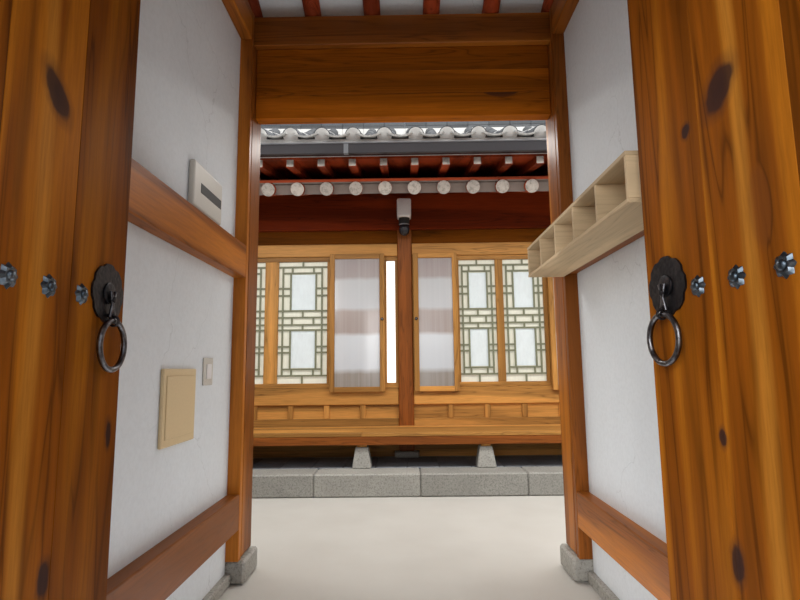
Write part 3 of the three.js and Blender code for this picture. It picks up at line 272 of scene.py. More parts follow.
class HanokSizes(bpy.types.PropertyGroup):
    """Sizes that set the scale of the finish."""

    tile_radius: length("Tile radius", "Radius of a round roof tile", 0.07)
    tile_length: length("Tile length", "Exposed length of a round roof tile", 0.30)
    course_step: length("Course step", "Exposed depth of a hollow roof tile", 0.16)
    timber_edge: length("Timber edge", "Width of the worn edge on each timber", 0.005)
    lattice_bar: length("Lattice bar", "Width of a window lattice bar", 0.018)
    stud_size: length("Stud size", "Width of a flower stud on the gate leaves", 0.058)
    planks: IntProperty(name="Leaf planks", description="Number of planks in a gate leaf", default=3, min=1)


class HanokColours(bpy.types.PropertyGroup):
    """Colours of the finish, as linear values."""

    pine: tint("Pine", "Lacquered pine of the gate", (0.31, 0.092, 0.012))
    leaf_pine: tint("Leaf pine", "Strongly figured pine of the gate leaves", (0.285, 0.080, 0.005))
    red_pine: tint("Red pine", "Red-brown pine of the main posts", (0.34, 0.10, 0.018))
    # The beam pine is dark red pine, darkened further as painted shade for the beam's place under the main
    # eave
    beam_pine: tint("Beam pine darkened for eave shade", "Dark red pine of the beam under the main eave", (0.175, 0.023, 0.003))
    golden_pine: tint("Golden pine", "Sunlit pine of the main front", (0.49, 0.235, 0.06))
    dark_pine: tint("Dark pine", "Red-brown pine under the eaves", (0.32, 0.050, 0.014))
    plywood: tint("Plywood", "Pale board of the shelf", (0.62, 0.47, 0.29))
    # The plaster is white with a cool blue tint that is painted light, for the bluish light on the passage
    # walls
    plaster: tint("Plaster", "White wall plaster", (0.775, 0.82, 0.85))
    tile: tint("Tile", "Fired grey roof tile", (0.11, 0.115, 0.122))
    granite: tint("Granite", "Pale dressed granite", (0.38, 0.37, 0.335))
    iron: tint("Iron", "Blackened iron of the handles", (0.022, 0.022, 0.026))


def sizes():
    return bpy.context.scene.hanok_sizes


# Materials


class Paint:
    """A node material that is built up step by step."""

    def __init__(self, name, roughness, metallic=0.0):
        self.material = bpy.data.materials.new(name)
        self.material.use_nodes = True
        self.nodes = self.material.node_tree.nodes
        self.shader = self.nodes["Principled BSDF"]
        self.set("Roughness", roughness)
        self.set("Metallic", metallic)
        self.place = self.node("TexCoord").outputs["Object"]

    def set(self, name, value):
        self.feed(self.shader.inputs[name], value)

    def feed(self, socket, value):
        """Gives a socket its value, or links it to the socket that feeds it."""
        if isinstance(value, bpy.types.NodeSocket):
            self.material.node_tree.links.new(value, socket)
        else:
            socket.default_value = value

    def node(self, kind, settings=None, **inputs):
        node = self.nodes.new("ShaderNode" + kind)
        for name, value in (settings or {}).items():
            setattr(node, name, value)
        for name, value in inputs.items():
            self.feed(node.inputs[name], value)
        return node

    def math(self, operation, first, second=0.0):
        node = self.node("Math", {"operation": operation})
        for socket, value in zip(node.inputs, (first, second)):
            self.feed(socket, value)
        return node.outputs[0]

    def vector_math(self, operation, *values):
        node = self.node("VectorMath", {"operation": operation})
        for socket, value in zip(node.inputs, values):
            self.feed(socket, value)
        return node

    def add(self, first, second):
        return self.vector_math("ADD", first, second).outputs[0]

    def scaled(self, source, factor):
        node = self.vector_math("SCALE", source)
        node.inputs["Scale"].default_value = factor
        return node.outputs[0]

    def stretch(self, scale, source=None):
        return self.node("Mapping", Scale=scale, Vector=source or self.place).outputs[0]

    def noise(self, vector, scale, detail=3.0, roughness=0.5, distortion=0.0, output="Fac"):
        node = self.node("TexNoise", Scale=scale, Detail=detail, Roughness=roughness, Distortion=distortion)
        self.feed(node.inputs["Vector"], vector)
        return node.outputs[output]

    def waver(self, vector, scale, detail, reach):
        """A small random shift that leans to no side."""
        colour = self.noise(vector, scale, detail, output="Color")
        size, shift = (reach,) * 3, (-reach / 2,) * 3
        return self.vector_math("MULTIPLY_ADD", colour, size, shift).outputs[0]

    def cells(self, vector, scale, feature="F1"):
        return self.node("TexVoronoi", {"feature": feature}, Scale=scale, Vector=vector)

    def ramp(self, source, stops):
        node = self.node("ValToRGB", Fac=source)
        elements = node.color_ramp.elements
        while len(elements) < len(stops):
            elements.new(0.5)
        for element, (position, value) in zip(elements, stops):
            element.position = position
            colour = value if isinstance(value, tuple) else (value, value, value)
            element.color = (*colour, 1.0)
        return node.outputs["Color"]

    def mix(self, amount, first, second, blend="MIX"):
        node = self.node("Mix", {"data_type": "RGBA", "blend_type": blend})
        for socket, value in zip((node.inputs[0], node.inputs[6], node.inputs[7]), (amount, first, second)):
            self.feed(socket, (*value, 1.0) if isinstance(value, tuple) else value)
        return node.outputs[2]

    def layer(self, base, source, stops, colour):
        """Lays a colour over the base, as thick as the stops say for each value of the source."""
        return self.mix(self.ramp(source, stops), base, colour)

    def tone(self):
        return self.node("Attribute", {"attribute_name": "tone"}).outputs["Fac"]

    def toned(self, base, spread):
        """Makes each block a little lighter or darker than the next."""
        level = self.math("ADD", self.math("MULTIPLY", self.tone(), spread), 1.0 - spread / 2)
        grey = self.node("CombineColor", Red=level, Green=level, Blue=level).outputs[0]
        return self.mix(1.0, base, grey, "MULTIPLY")

    def bump(self, height, distance, strength):
        node = self.node("Bump", Strength=strength, Distance=distance, Height=height)
        self.set("Normal", node.outputs["Normal"])

    def gloss(self, source, low, high):
        node = self.node("MapRange", Value=source, **{"To Min": low, "To Max": high})
        self.set("Roughness", node.outputs["Result"])


def shade(colour, factor):
    return tuple(min(1.0, channel * factor) for channel in colour)


def along(grain, share):
    """The scale that draws a pattern out along the grain."""
    return tuple(share if axis == grain else 1.0 for axis in "XYZ")


def leaf_marks(paint, base, eye):
    """The large knots and the pale streak that show on both open gate leaves."""
    spots = paint.add(paint.place, paint.waver(paint.place, 14.0, 2.0, 0.03))
    for place, size, lean in LEAF_KNOTS:
        node = paint.node(
            "Mapping", {"vector_type": "TEXTURE"}, Vector=spots, Location=Vector(place) + HOME,
            Rotation=(lean, 0, 0), Scale=[2 * value for value in size])
        reach = paint.vector_math("LENGTH", node.outputs[0]).outputs["Value"]
        spot = paint.ramp(reach, [(0.0, 0.95), (0.38, 0.9), (0.5, 0.35), (0.75, 0)])
        eye = paint.math("MAXIMUM", eye, spot)
    drift = paint.waver(paint.stretch((1, 1, 0.3)), 3.0, 1.0, 0.10)
    across = paint.node("SeparateXYZ", Vector=paint.add(paint.place, drift)).outputs["Y"]
    off = paint.math("ABSOLUTE", paint.math("SUBTRACT", across, LEAF_STREAK_Y + HOME.y))
    return paint.layer(base, off, [(0.010, 0.85), (0.034, 0)], LEAF_STREAK), eye


def wood(name, colour, grain, knots, roughness, streak=(1.0, 1.0, 1.0), coat=0.0, contrast=1.0, figure=5.5,
         rings=7.0, marks=None, specular=0.12):
    """Sawn wood with rings, fibres and knots that run along one axis."""
    paint = Paint(name, roughness)
    tone = paint.tone()
    shifts = {axis: paint.math("MULTIPLY", tone, reach) for axis, reach in zip("XYZ", (7.3, 11.9, 5.1))}
    place = paint.add(paint.place, paint.node("CombineXYZ", **shifts).outputs[0])
    knot = paint.cells(paint.stretch(along(grain, 0.34), place), 3.1)
    chosen = paint.ramp(paint.noise(knot.outputs["Position"], 9.0, 0.0), [(0.5, 0), (0.54, 1)])
    near = paint.ramp(knot.outputs["Distance"], [(0.0, 1), (0.095, 0.9), (0.12, 0.2), (0.3, 0)])
    eye = paint.math("MULTIPLY", paint.math("MULTIPLY", near, chosen), knots)
    drawn = paint.stretch(along(grain, 0.055), place)
    pushed = paint.add(drawn, paint.scaled(paint.noise(drawn, 4.0, 2.0, output="Color"), 0.16))
    growth = paint.noise(pushed, 16.0, 2.0, 0.45, 0.6)
    lines = paint.math("PINGPONG", paint.math("ADD", paint.math("MULTIPLY", growth, rings), eye), 0.5)
    fibres = paint.noise(drawn, 90.0, 4.0, 0.65)
    bands = paint.noise(pushed, figure, 1.0)
    dark, deep = shade(colour, 1 - 0.5 * contrast), shade(colour, 1 - 0.42 * contrast)
    light = tuple(min(1.0, c * s) for c, s in zip(shade(colour, 1 + 0.5 * contrast), streak))
    base = paint.layer(colour, paint.math("MULTIPLY", lines, 2.0), [(0.0, 0), (0.75, 0.35), (1.0, 1)], dark)
    base = paint.layer(base, bands, [(0.52, 0), (0.62, 0.85)], light)
    base = paint.layer(base, bands, [(0.34, 0.8), (0.46, 0)], deep)
    if marks:
        base, eye = marks(paint, base, eye)
    base = paint.layer(base, fibres, [(0.3, 0.35), (0.6, 0)], dark)
    base = paint.mix(eye, base, KNOT_COLOUR)
    paint.set("Base Color", paint.toned(base, 0.34))
    paint.gloss(fibres, roughness * 0.8, roughness * 1.25)
    paint.set("Specular IOR Level", specular)
    paint.set("Coat Weight", coat)
    paint.set("Coat Roughness", 0.3)
    paint.bump(paint.math("SUBTRACT", paint.math("MULTIPLY", fibres, 0.5), eye), 0.0015, 0.5)
    return paint.material


def plaster(name, colour, cracks, stain):
    """Trowelled plaster with faint trowel marks, damp stains and hairline cracks."""
    paint = Paint(name, 0.85)
    clouds = paint.noise(paint.stretch((1, 1, 0.6)), 1.7, 4.0, 0.6)
    fine = paint.noise(paint.place, 55.0, 4.0, 0.6)
    wobble = paint.scaled(paint.noise(paint.place, 6.0, 4.0, output="Color"), 0.2)
    web = paint.cells(paint.add(paint.place, wobble), 1.5, "DISTANCE_TO_EDGE")
    where = paint.ramp(paint.noise(paint.place, 1.2, 1.0), [(0.52, 0), (0.6, 1)])
    line = paint.math("MULTIPLY", paint.ramp(web.outputs["Distance"], [(0.0, 1), (0.004, 0)]), where)
    base = paint.layer(colour, clouds, [(0.35, 0), (0.7, stain)], shade(colour, 0.72))
    base = paint.layer(base, fine, [(0.35, 0.12), (0.6, 0)], shade(colour, 0.6))
    paint.set("Base Color", paint.mix(paint.math("MULTIPLY", line, cracks), base, shade(colour, 0.3)))
    paint.bump(paint.math("SUBTRACT", paint.math("ADD", fine, clouds), line), 0.002, 0.4)
    return paint.material


def roof_bed(name, colour, boards):
    """Limed clay under the tiles, with dark boards on the faces that look down, painted far darker than the
    eave boards' pine as painted shade under the eave.
    """
    paint = Paint(name, 0.85)
    fine = paint.noise(paint.place, 40.0, 4.0, 0.6)
    facing = paint.node("SeparateXYZ", Vector=paint.place.node.outputs["Normal"])
    below = paint.math("LESS_THAN", facing.outputs["Z"], -0.5)
    stops = [(0.35, 0.5), (0.65, 0)]
    clay = paint.layer(colour, fine, stops, shade(colour, 0.7))
    planks = paint.layer(boards, fine, stops, shade(boards, 0.5))
    paint.set("Base Color", paint.mix(below, clay, planks))
    paint.bump(fine, 0.002, 0.4)
    return paint.material


def stone(name, colour, grain=70.0, roughness=0.75, spread=0.3):
    """Dressed stone with mineral specks and a slightly different tone for each block."""
    paint = Paint(name, roughness)
    specks = paint.noise(paint.place, grain, 3.0, 0.75)
    clouds = paint.noise(paint.place, 4.0, 4.0, 0.6)
    base = paint.layer(colour, specks, [(0.38, 0.75), (0.5, 0)], shade(colour, 0.5))
    base = paint.layer(base, specks, [(0.6, 0), (0.72, 0.6)], shade(colour, 1.45))
    base = paint.layer(base, clouds, [(0.4, 0), (0.75, 0.45)], shade(colour, 0.62))
    paint.set("Base Color", paint.toned(base, spread))
    paint.gloss(specks, roughness - 0.1, min(1.0, roughness + 0.12))
    paint.bump(paint.math("ADD", specks, clouds), 0.004, 0.45)
    return paint.material


def metal(name, colour, roughness, wear, metallic=1.0):
    """Forged metal with hammer marks and a paler worn sheen."""
    paint = Paint(name, roughness, metallic)
    rust = paint.noise(paint.place, 40.0, 4.0, 0.6)
    paint.set("Base Color", paint.layer(colour, rust, [(0.45, 0), (0.7, 0.8)], wear))
    paint.gloss(rust, roughness * 0.7, roughness * 1.3)
    paint.bump(paint.cells(paint.place, 90.0, "SMOOTH_F1").outputs["Distance"], 0.002, 0.5)
    return paint.material


def smooth(name, colour, roughness):
    """Moulded or painted surface with a fine orange-peel texture."""
    paint = Paint(name, roughness)
    peel = paint.noise(paint.place, 120.0, 2.0)
    paint.set("Base Color", paint.layer(colour, peel, [(0.35, 0.12), (0.6, 0)], shade(colour, 0.7)))
    paint.bump(peel, 0.0006, 0.3)
    return paint.material


def window_paper(name, colour, glow):
    """Backlit window paper with loose fibres."""
    paint = Paint(name, 0.7)
    fibres = paint.noise(paint.stretch((1, 1, 0.3)), 45.0, 4.0, 0.7)
    clouds = paint.noise(paint.place, 5.0)
    base = paint.layer(colour, fibres, [(0.4, 0), (0.65, 0.5)], shade(colour, 0.86))
    base = paint.layer(base, clouds, [(0.35, 0), (0.75, 0.35)], shade(colour, 0.84))
    paint.set("Base Color", base)
    paint.set("Emission Color", base)
    paint.set("Emission Strength", glow)
    return paint.material


def curtain_glass(name):
    """A glazed leaf with pale curtains close behind the glass, in broad level bands."""
    paint = Paint(name, 0.12)
    height = paint.node("SeparateXYZ", Vector=paint.place).outputs["Z"]
    ripple = paint.noise(paint.stretch((3.0, 1, 0.5)), 3.0, 2.0)
    level = paint.math("ADD", height, paint.math("MULTIPLY", ripple, 0.03))
    share = paint.math("DIVIDE", paint.math("SUBTRACT", level, 0.9), 1.5)
    bands = paint.ramp(share, [
        (0.0, (0.30, 0.27, 0.24)), (0.13, (0.33, 0.30, 0.27)), (0.17, (0.62, 0.66, 0.71)),
        (0.40, (0.66, 0.70, 0.74)), (0.43, (0.40, 0.34, 0.32)), (0.58, (0.44, 0.38, 0.36)),
        (0.61, (0.60, 0.62, 0.65)), (0.81, (0.58, 0.60, 0.62)), (0.84, (0.42, 0.38, 0.38)),
        (1.0, (0.38, 0.34, 0.34)),
    ])
    folds = paint.noise(paint.stretch((14.0, 1, 0.15)), 3.0, 2.0)
    paint.set("Base Color", paint.layer(bands, folds, [(0.4, 0), (0.7, 0.12)], (0.78, 0.8, 0.82)))
    paint.set("Coat Weight", 0.6)
    paint.set("Coat Roughness", 0.06)
    return paint.material


def make_woods(tints):
    """Mixes a copy of each wood for each way its grain can run, and the woods that run one way only."""
    for key, name, axes, colour, knots, roughness, settings in (
        ("pine", "Lacquered pine", "XYZ", tints.pine, 1.0, 0.42, {"streak": (1.15, 1.3, 1.2), "coat": 0.08}),
        ("golden", "Golden pine", "XYZ", tints.golden_pine, 0.6, 0.45, {"coat": 0.08}),
        ("red", "Red pine", "XYZ", tints.red_pine, 0.6, 0.45, {"coat": 0.08}),
        ("dark", "Dark pine", "XYZ", tints.dark_pine, 0.4, 0.5, {}),
        ("ply", "Pale board", "XY", tints.plywood, 0.15, 0.6, {"contrast": 0.4}),
    ):
        for axis in axes:
            mixed = wood(f"{name} {axis}", colour[:], axis, knots, roughness, **settings)
            materials[f"{key}_{axis}"] = mixed
    leaf_pine = tints.leaf_pine[:]
    # Painted shade: the beam under the main eave takes the darkened beam pine
    materials["beam_X"] = wood("Beam pine darkened for eave shade", tints.beam_pine[:], "X", 0.5, 0.5)
    # Painted shade: the panel pine is the leaf pine at half its brightness, for the recessed panels in the
    # shade under the main beam
    materials["panel_X"] = wood("Panel pine darkened for shade under the beam", shade(leaf_pine, 0.5), "X", 0.8, 0.5, specular=0.04)
    materials["lintel_X"] = wood("Lintel pine", shade(leaf_pine, 1.5), "X", 0.8, 0.5, specular=0.04)
    materials["leaf_Z"] = wood(
        "Figured leaf pine", leaf_pine, "Z", 0.3, 0.5, streak=(1.0, 1.2, 1.3), contrast=1.2, figure=8.0,
        rings=3.0, marks=leaf_marks, specular=0.03)


def make_materials():
    """Mixes every finish once."""
    tints = bpy.context.scene.hanok_colours
    make_woods(tints)
    for key, make, *recipe in (
        ("plaster", plaster, "White plaster", tints.plaster[:], 0.25, 0.18),
        # Painted shade: the soffit is white plaster painted dark brown-grey for the shade under the main
        # eave
        ("soffit", plaster, "Soffit plaster", (0.19, 0.15, 0.13), 0.3, 0.5),
        ("lime", plaster, "Lime mortar", (0.86, 0.85, 0.82), 0.2, 0.25),
        # Painted shade: the bed's down-facing boards take a very dark brown
        ("bed", roof_bed, "Roof bed", (0.80, 0.79, 0.76), (0.045, 0.012, 0.008)),
        ("tile", stone, "Roof tile", tints.tile[:], 60.0, 0.72, 0.5),
        # Painted light: the lowest hollow tiles are dark grey tile painted near white for the sunlight on
        # the eave
        ("eave_tile", stone, "Limed eave tile", (0.86, 0.86, 0.83), 60.0, 0.8, 0.2),
        ("granite", stone, "Dressed granite", tints.granite[:]),
        ("brick", stone, "Grey paving brick", (0.20, 0.215, 0.24), 50.0, 0.7, 0.4),
        ("rafter_end", stone, "Limed rafter end", (0.40, 0.36, 0.32), 30.0, 0.7, 0.3),
        ("iron", metal, "Blackened iron", tints.iron[:], 0.42, (0.07, 0.06, 0.06), 0.85),
        ("steel", metal, "Blued stud steel", (0.08, 0.105, 0.13), 0.36, (0.24, 0.28, 0.32)),
        ("ring_iron", metal, "Worn ring iron", (0.10, 0.10, 0.11), 0.32, (0.3, 0.3, 0.31)),
        ("gutter", smooth, "Painted gutter", (0.065, 0.060, 0.066), 0.5),
        ("gutter_edge", smooth, "Pale gutter edge", (0.30, 0.31, 0.33), 0.4),
        ("housing", smooth, "White housing", (0.80, 0.80, 0.80), 0.35),
        ("smoked", smooth, "Smoked lens", (0.02, 0.02, 0.025), 0.12),
        ("beige", smooth, "Beige cover", (0.74, 0.58, 0.34), 0.5),
        ("cream", smooth, "Off-white cover", (0.62, 0.60, 0.54), 0.45),
        ("slot", smooth, "Dark slot", (0.015, 0.015, 0.015), 0.6),
        ("floor_paper", smooth, "Oiled floor paper", (0.55, 0.36, 0.12), 0.3),
        ("lattice", smooth, "Aged lattice", (0.20, 0.21, 0.13), 0.55),
        ("paper", window_paper, "Window paper", (0.72, 0.71, 0.60), 0.30),
        ("pane", window_paper, "Bright pane", (0.70, 0.77, 0.79), 0.22),
        ("daylight", window_paper, "Sunlit paper", (0.95, 0.95, 0.93), 1.1),
        ("curtain", curtain_glass, "Curtained glass"),
    ):
        materials[key] = make(*recipe)


# Modelling


def deselect_all():
    if bpy.context.object and bpy.context.object.mode != "OBJECT":
        bpy.ops.object.mode_set(mode="OBJECT")
    bpy.ops.object.select_all(action="DESELECT")


def pick(*objects):
    deselect_all()
    for obj in objects:
        obj.select_set(True)
    bpy.context.view_layer.objects.active = objects[0]


def apply_place():
    bpy.ops.object.transform_apply(location=True, rotation=True, scale=True)
    return bpy.context.object


def bevel(edge, segments):
    bpy.ops.mesh.bevel(offset=edge, segments=segments)
    bpy.ops.object.mode_set(mode="OBJECT")


def paint_all(obj, material):
    obj.data.materials.clear()
    obj.data.materials.append(materials[material])


def set_tone(obj):
    """Draws a tone for one block: the share of its material's spread that all of its faces take."""
    layer = obj.data.attributes.get("tone") or obj.data.attributes.new("tone", "FLOAT", "FACE")
    layer.data.foreach_set("value", [draw.random()] * len(obj.data.polygons))


def finished(obj, material):
    paint_all(obj, material)
    set_tone(obj)
    return obj


def block(x, y, z, material, edge=None, segments=1):
    """A squared block between two places on each axis, with worn edges."""
    deselect_all()
    spans = [sorted(span) for span in (x, y, z)]
    middle = [(a + b) / 2 for a, b in spans]
    bpy.ops.mesh.primitive_cube_add(size=1, location=middle, scale=[b - a for a, b in spans])
    obj = apply_place()
    edge = sizes().timber_edge if edge is None else edge
    if edge:
        bpy.ops.object.mode_set(mode="EDIT")
        bevel(edge, segments)
    return finished(obj, material)


def timber(x, y, z, wood_name, edge=None):
    """A block whose grain runs along its longest side."""
    lengths = {axis: abs(span[1] - span[0]) for axis, span in zip("XYZ", (x, y, z))}
    return block(x, y, z, f"{wood_name}_{max(lengths, key=lengths.get)}", edge)


def round_bar(centre, radius, depth, material, sides=16, turn=(0, 0, 0), edge=0.0):
    """A closed round bar about the Z axis, turned into place."""
    deselect_all()
    bpy.ops.mesh.primitive_cylinder_add(
        vertices=sides, radius=radius, depth=depth, location=centre, rotation=turn)
    obj = apply_place()
    if edge:
        bpy.ops.object.mode_set(mode="EDIT")
        bpy.ops.mesh.select_mode(type="EDGE")
        bpy.ops.mesh.select_all(action="DESELECT")
        bpy.ops.mesh.edges_select_sharp(sharpness=math.radians(60))
        bevel(edge, 2)
    return finished(obj, material)


def torus(centre, turn, mean, wire, material, around, across):
    deselect_all()
    bpy.ops.mesh.primitive_torus_add(
        location=centre, rotation=turn, major_segments=around, minor_segments=across, major_radius=mean,
        minor_radius=wire)
    return finished(apply_place(), material)


def ball(centre, radius, squash, material, segments, rings):
    deselect_all()
    bpy.ops.mesh.primitive_uv_sphere_add(
        segments=segments, ring_count=rings, radius=radius, location=centre)
    bpy.ops.transform.resize(value=squash)
    return finished(apply_place(), material)


def placed(obj, matrix):
    """A copy with its own mesh and tone, moved from the origin to its place."""
    new = obj.copy()
    new.data = obj.data.copy()
    bpy.context.collection.objects.link(new)
    new.data.transform(matrix)
    set_tone(new)
    return new


def joined(objects):
    pick(*objects)
    if len(objects) > 1:
        bpy.ops.object.join()
    return bpy.context.object


def soften(obj, degrees=40):
    pick(obj)
    bpy.ops.object.shade_smooth_by_angle(angle=math.radians(degrees))
    return obj


def piece(objects, name, body="house", replaces=(), soft=None):
    """Joins blocks into one named piece, moves it home and lets it ride on a body."""
    obj = joined(objects)
    obj.name = name
    obj.data.name = name
    bpy.ops.transform.translate(value=HOME)
    apply_place()
    if soft:
        soften(obj, soft)
    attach(obj, body)
    if replaces:
        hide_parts(*replaces)


def edit_vertices(obj, chosen):
    """Starts edit mode with only those vertices selected that a test picks."""
    pick(obj)
    for vertex in obj.data.vertices:
        vertex.select = chosen(vertex.co)
    for part in (*obj.data.edges, *obj.data.polygons):
        part.select = False
    bpy.ops.object.mode_set(mode="EDIT")
    bpy.ops.mesh.select_mode(type="VERT")


def move_vertices(obj, chosen, value):
    edit_vertices(obj, chosen)
    bpy.ops.transform.translate(value=value)
    bpy.ops.object.mode_set(mode="OBJECT")


def resize_vertices(obj, chosen, value, centre=(0, 0, 0)):
    edit_vertices(obj, chosen)
    bpy.ops.transform.resize(value=value, center_override=centre)
    bpy.ops.object.mode_set(mode="OBJECT")


def sliced(obj, place, normal):
    """Cuts off what lies on the far side of a plane and closes the cut."""
    pick(obj)
    bpy.ops.object.mode_set(mode="EDIT")
    bpy.ops.mesh.select_all(action="SELECT")
    bpy.ops.mesh.bisect(plane_co=place, plane_no=normal, use_fill=True, clear_outer=True)
    bpy.ops.object.mode_set(mode="OBJECT")
    set_tone(obj)
    return obj


def with_modifier(obj, kind, **settings):
    """Applies one modifier to an object."""
    pick(obj)
    modifier = obj.modifiers.new(kind.title(), kind)
    for name, value in settings.items():
        setattr(modifier, name, value)
    bpy.ops.object.modifier_apply(modifier=modifier.name)


def discard(*objects):
    for obj in objects:
        bpy.data.objects.remove(obj)


def spread(low, high, count):
    """Places from low to high, both included."""
    return [low + (high - low) * k / (count - 1) for k in range(count)]


def steps(low, high, size, joint=0.0):
    """Equal spans of about one size between two places, with a joint after each."""
    count = max(1, round((high - low) / size))
    step = (high - low) / count
    return [(low + k * step, low + (k + 1) * step - joint) for k in range(count)]


def about(centre, half):
    return (centre - half, centre + half)


def post_span(centre):
    return about(centre, POST / 2)


def outward(side, near, far):
    return (-far, -near) if side < 0 else (near, far)


def rafter_foot(roof, y):
    slope = math.hypot(1, roof["rise"])
    return roof["ridge_z"] - roof["rise"] * abs(y - roof["ridge_y"]) - roof["flat"] * slope - GAP


def roof_beam(roof, x, y, low, wood_name):
    """A beam whose top follows the rafters it carries."""
    tops = [rafter_foot(roof, place) for place in y]
    beam = timber(x, y, (low, min(tops)), wood_name)
    raised = max(y, key=lambda place: rafter_foot(roof, place))
    step = max(tops) - min(tops)
    move_vertices(beam, lambda co: co.z > min(tops) - 0.01 and abs(co.y - raised) < 0.02, (0, 0, step))
    return beam


def facing(side):
    return Matrix.Rotation(0 if side < 0 else math.pi, 4, "Z")


def on_slope(roof, side, distance, x=0.0):
    """Lays a part that was modelled about the origin on a slope's rafter line, with +Y up the slope."""
    turn = Matrix.Rotation(math.atan(roof["rise"]), 4, "X")
    place = (x, roof["ridge_y"] + side * distance, roof["ridge_z"] - roof["rise"] * distance)
    return Matrix.Translation(place) @ facing(side) @ turn


def bed_height(roof, distance):
    run = roof["eave"] - distance
    return roof["eave_z"] + roof["edge"] + roof["pitch"] * run + roof["swell"] * run * run / roof["eave"]


def end_lift(roof, x):
    """How far a roof's line rises towards its gable ends."""
    middle, half = (roof["left"] + roof["right"]) / 2, (roof["right"] - roof["left"]) / 2
    return roof["lift"] * abs((x - middle) / half) ** 3


def on_bed(roof, side, distance, x, raised, ease=0.0):
    """Lays a tile on the curved bed of a slope, with +Y up the slope."""
    slope = roof["pitch"] + 2 * roof["swell"] * (roof["eave"] - distance) / roof["eave"]
    turn = Matrix.Rotation(math.atan(slope) - ease, 4, "X")
    height = bed_height(roof, distance) + end_lift(roof, x) + raised
    return Matrix.Translation((x, roof["ridge_y"] + side * distance, height)) @ facing(side) @ turn


# Gatehouse


def gate_frames():
    z = (FOOT_STONE_TOP + GAP, BEAM_LOW - GAP)
    for end_name, near in (("front", NEAR_POST_Y), ("rear", 0.0)):
        y = (near, near + GATE_POST)
        parts = [timber(outward(side, *POST_FACES), y, z, "pine", 0.012) for side in (-1, 1)]
        parts.append(roof_beam(GATE_ROOF, GATE_BEAM_ENDS, (near + 0.02, near + 0.18), BEAM_LOW, "pine"))
        piece(parts, f"gate_{end_name}_timbers", replaces=[f"gate_{end_name}_frame"])


def gate_boards():
    """The boards over the gate's head and those over the passage's yard end."""
    x = about(0, PASSAGE_HALF - GAP)
    high = BEAM_LOW - GAP
    for name, node, y, low, wood_name in (
        ("transom_planks", "gate_transom_panel", (-2.38, -2.32), DOOR_HEAD[1] + GAP, "pine"),
        ("lintel_planks", "passage_lintel_boards", (0.06, 0.14), LINTEL_BOARDS_LOW, "lintel"),
    ):
        boards = steps(low, high, (high - low) / BOARDS_ACROSS, 0.0008)
        piece([timber(x, y, z, wood_name, 0.004) for z in boards], name, replaces=[node])


def pierced_block(x, y, z, side):
    """A block that is pierced for the leaf's peg."""
    body = block(x, y, z, "pine_X", 0.003)
    middle = (side * PIVOT.x, PIVOT.y, (z[0] + z[1]) / 2)
    drill = round_bar(middle, PIVOT_HOLE, 0.3, "pine_X", 24)
    with_modifier(body, "BOOLEAN", object=drill, solver="EXACT")
    discard(drill)
    set_tone(body)
    return body


def door_frame():
    half, between_stones = PASSAGE_HALF - GAP, PASSAGE_HALF - 0.03
    low, high = THRESHOLD, DOOR_HEAD[0]
    parts = [
        timber(about(0, between_stones), DOOR_FRAME_Y, (0.0, FOOT_STONE_TOP), "pine"),
        timber(about(0, half), DOOR_FRAME_Y, (FOOT_STONE_TOP + 0.001, low), "pine"),
        timber(about(0, half), DOOR_FRAME_Y, DOOR_HEAD, "pine"),
    ]
    for side in (-1, 1):
        parts.append(timber(outward(side, DOOR_HALF, half), DOOR_FRAME_Y, (low, high), "pine"))
        x = outward(side, *about(PIVOT.x, PIVOT_BLOCK_HALF))
        y = (DOOR_FRAME_Y[1] + GAP, PIVOT.y + PIVOT_BLOCK_HALF)
        for z in ((low - PIVOT_BLOCK_HEIGHT, low - 0.001), (high + 0.001, high + PIVOT_BLOCK_HEIGHT)):
            parts.append(pierced_block(x, y, z, side))
    piece(parts, "door_frame_timbers", replaces=["gate_door_frame"])


def passage_walls():
    """Rails on both faces of each plaster wall, the ties at its ends and the king posts over it."""
    y = (NEAR_POST_Y + GATE_POST + GAP, -GAP)
    rail_y = (y[0] + TIE, y[1] - TIE)
    middle = GATE_ROOF["ridge_y"]
    high = RAIL_HEIGHTS[2][1]
    for side in (-1, 1):
        inner = outward(side, PASSAGE_HALF + 0.001, WALL_FACE - GAP)
        outer = outward(side, WALL_FACE + WALL_CORE + GAP, PASSAGE_HALF + GATE_POST - 0.001)
        parts = [timber(strip, rail_y, z, "pine") for strip in (inner, outer) for z in RAIL_HEIGHTS]
        parts += [timber(outward(side, *POST_FACES), tie_y, (FOOT_STONE_TOP + GAP, high), "pine", 0.002)
                  for tie_y in ((y[0], rail_y[0]), (rail_y[1], y[1]))]
        top = rafter_foot(GATE_ROOF, middle) - 0.2
        parts += [timber(strip, about(middle, 0.075), (high, top), "pine") for strip in (inner, outer)]
        name = SIDE_NAMES[side]
        piece(parts, f"passage_{name}_timbers", replaces=[f"passage_{name}_rails"])


def gate_stones():
    for side in (-1, 1):
        parts = [block(outward(side, 0.87, 1.13), (y - 0.03, y + GATE_POST + 0.03), (0, FOOT_STONE_TOP),
                       "granite", 0.012) for y in (NEAR_POST_Y, 0.0)]
        parts += [block(outward(side, 0.94, 1.06), y, (0, 0.0595), "granite", 0.006)
                  for y in steps(NEAR_POST_Y + GATE_POST + 0.031, -0.031, 0.45, 0.002)]
        name = SIDE_NAMES[side]
        piece(parts, f"gate_{name}_stones", replaces=[f"gate_{name}_footing"])


# Gate leaves


def open_leaf(objects, side):
    """Turns what was modelled on a closed leaf into its open place in the passage."""
    turn = Matrix.Translation((side * PIVOT.x, PIVOT.y, 0)) @ Matrix.Rotation(OPEN_ANGLES[side], 4, "Z")
    for obj in objects:
        obj.data.transform(turn)
    return objects


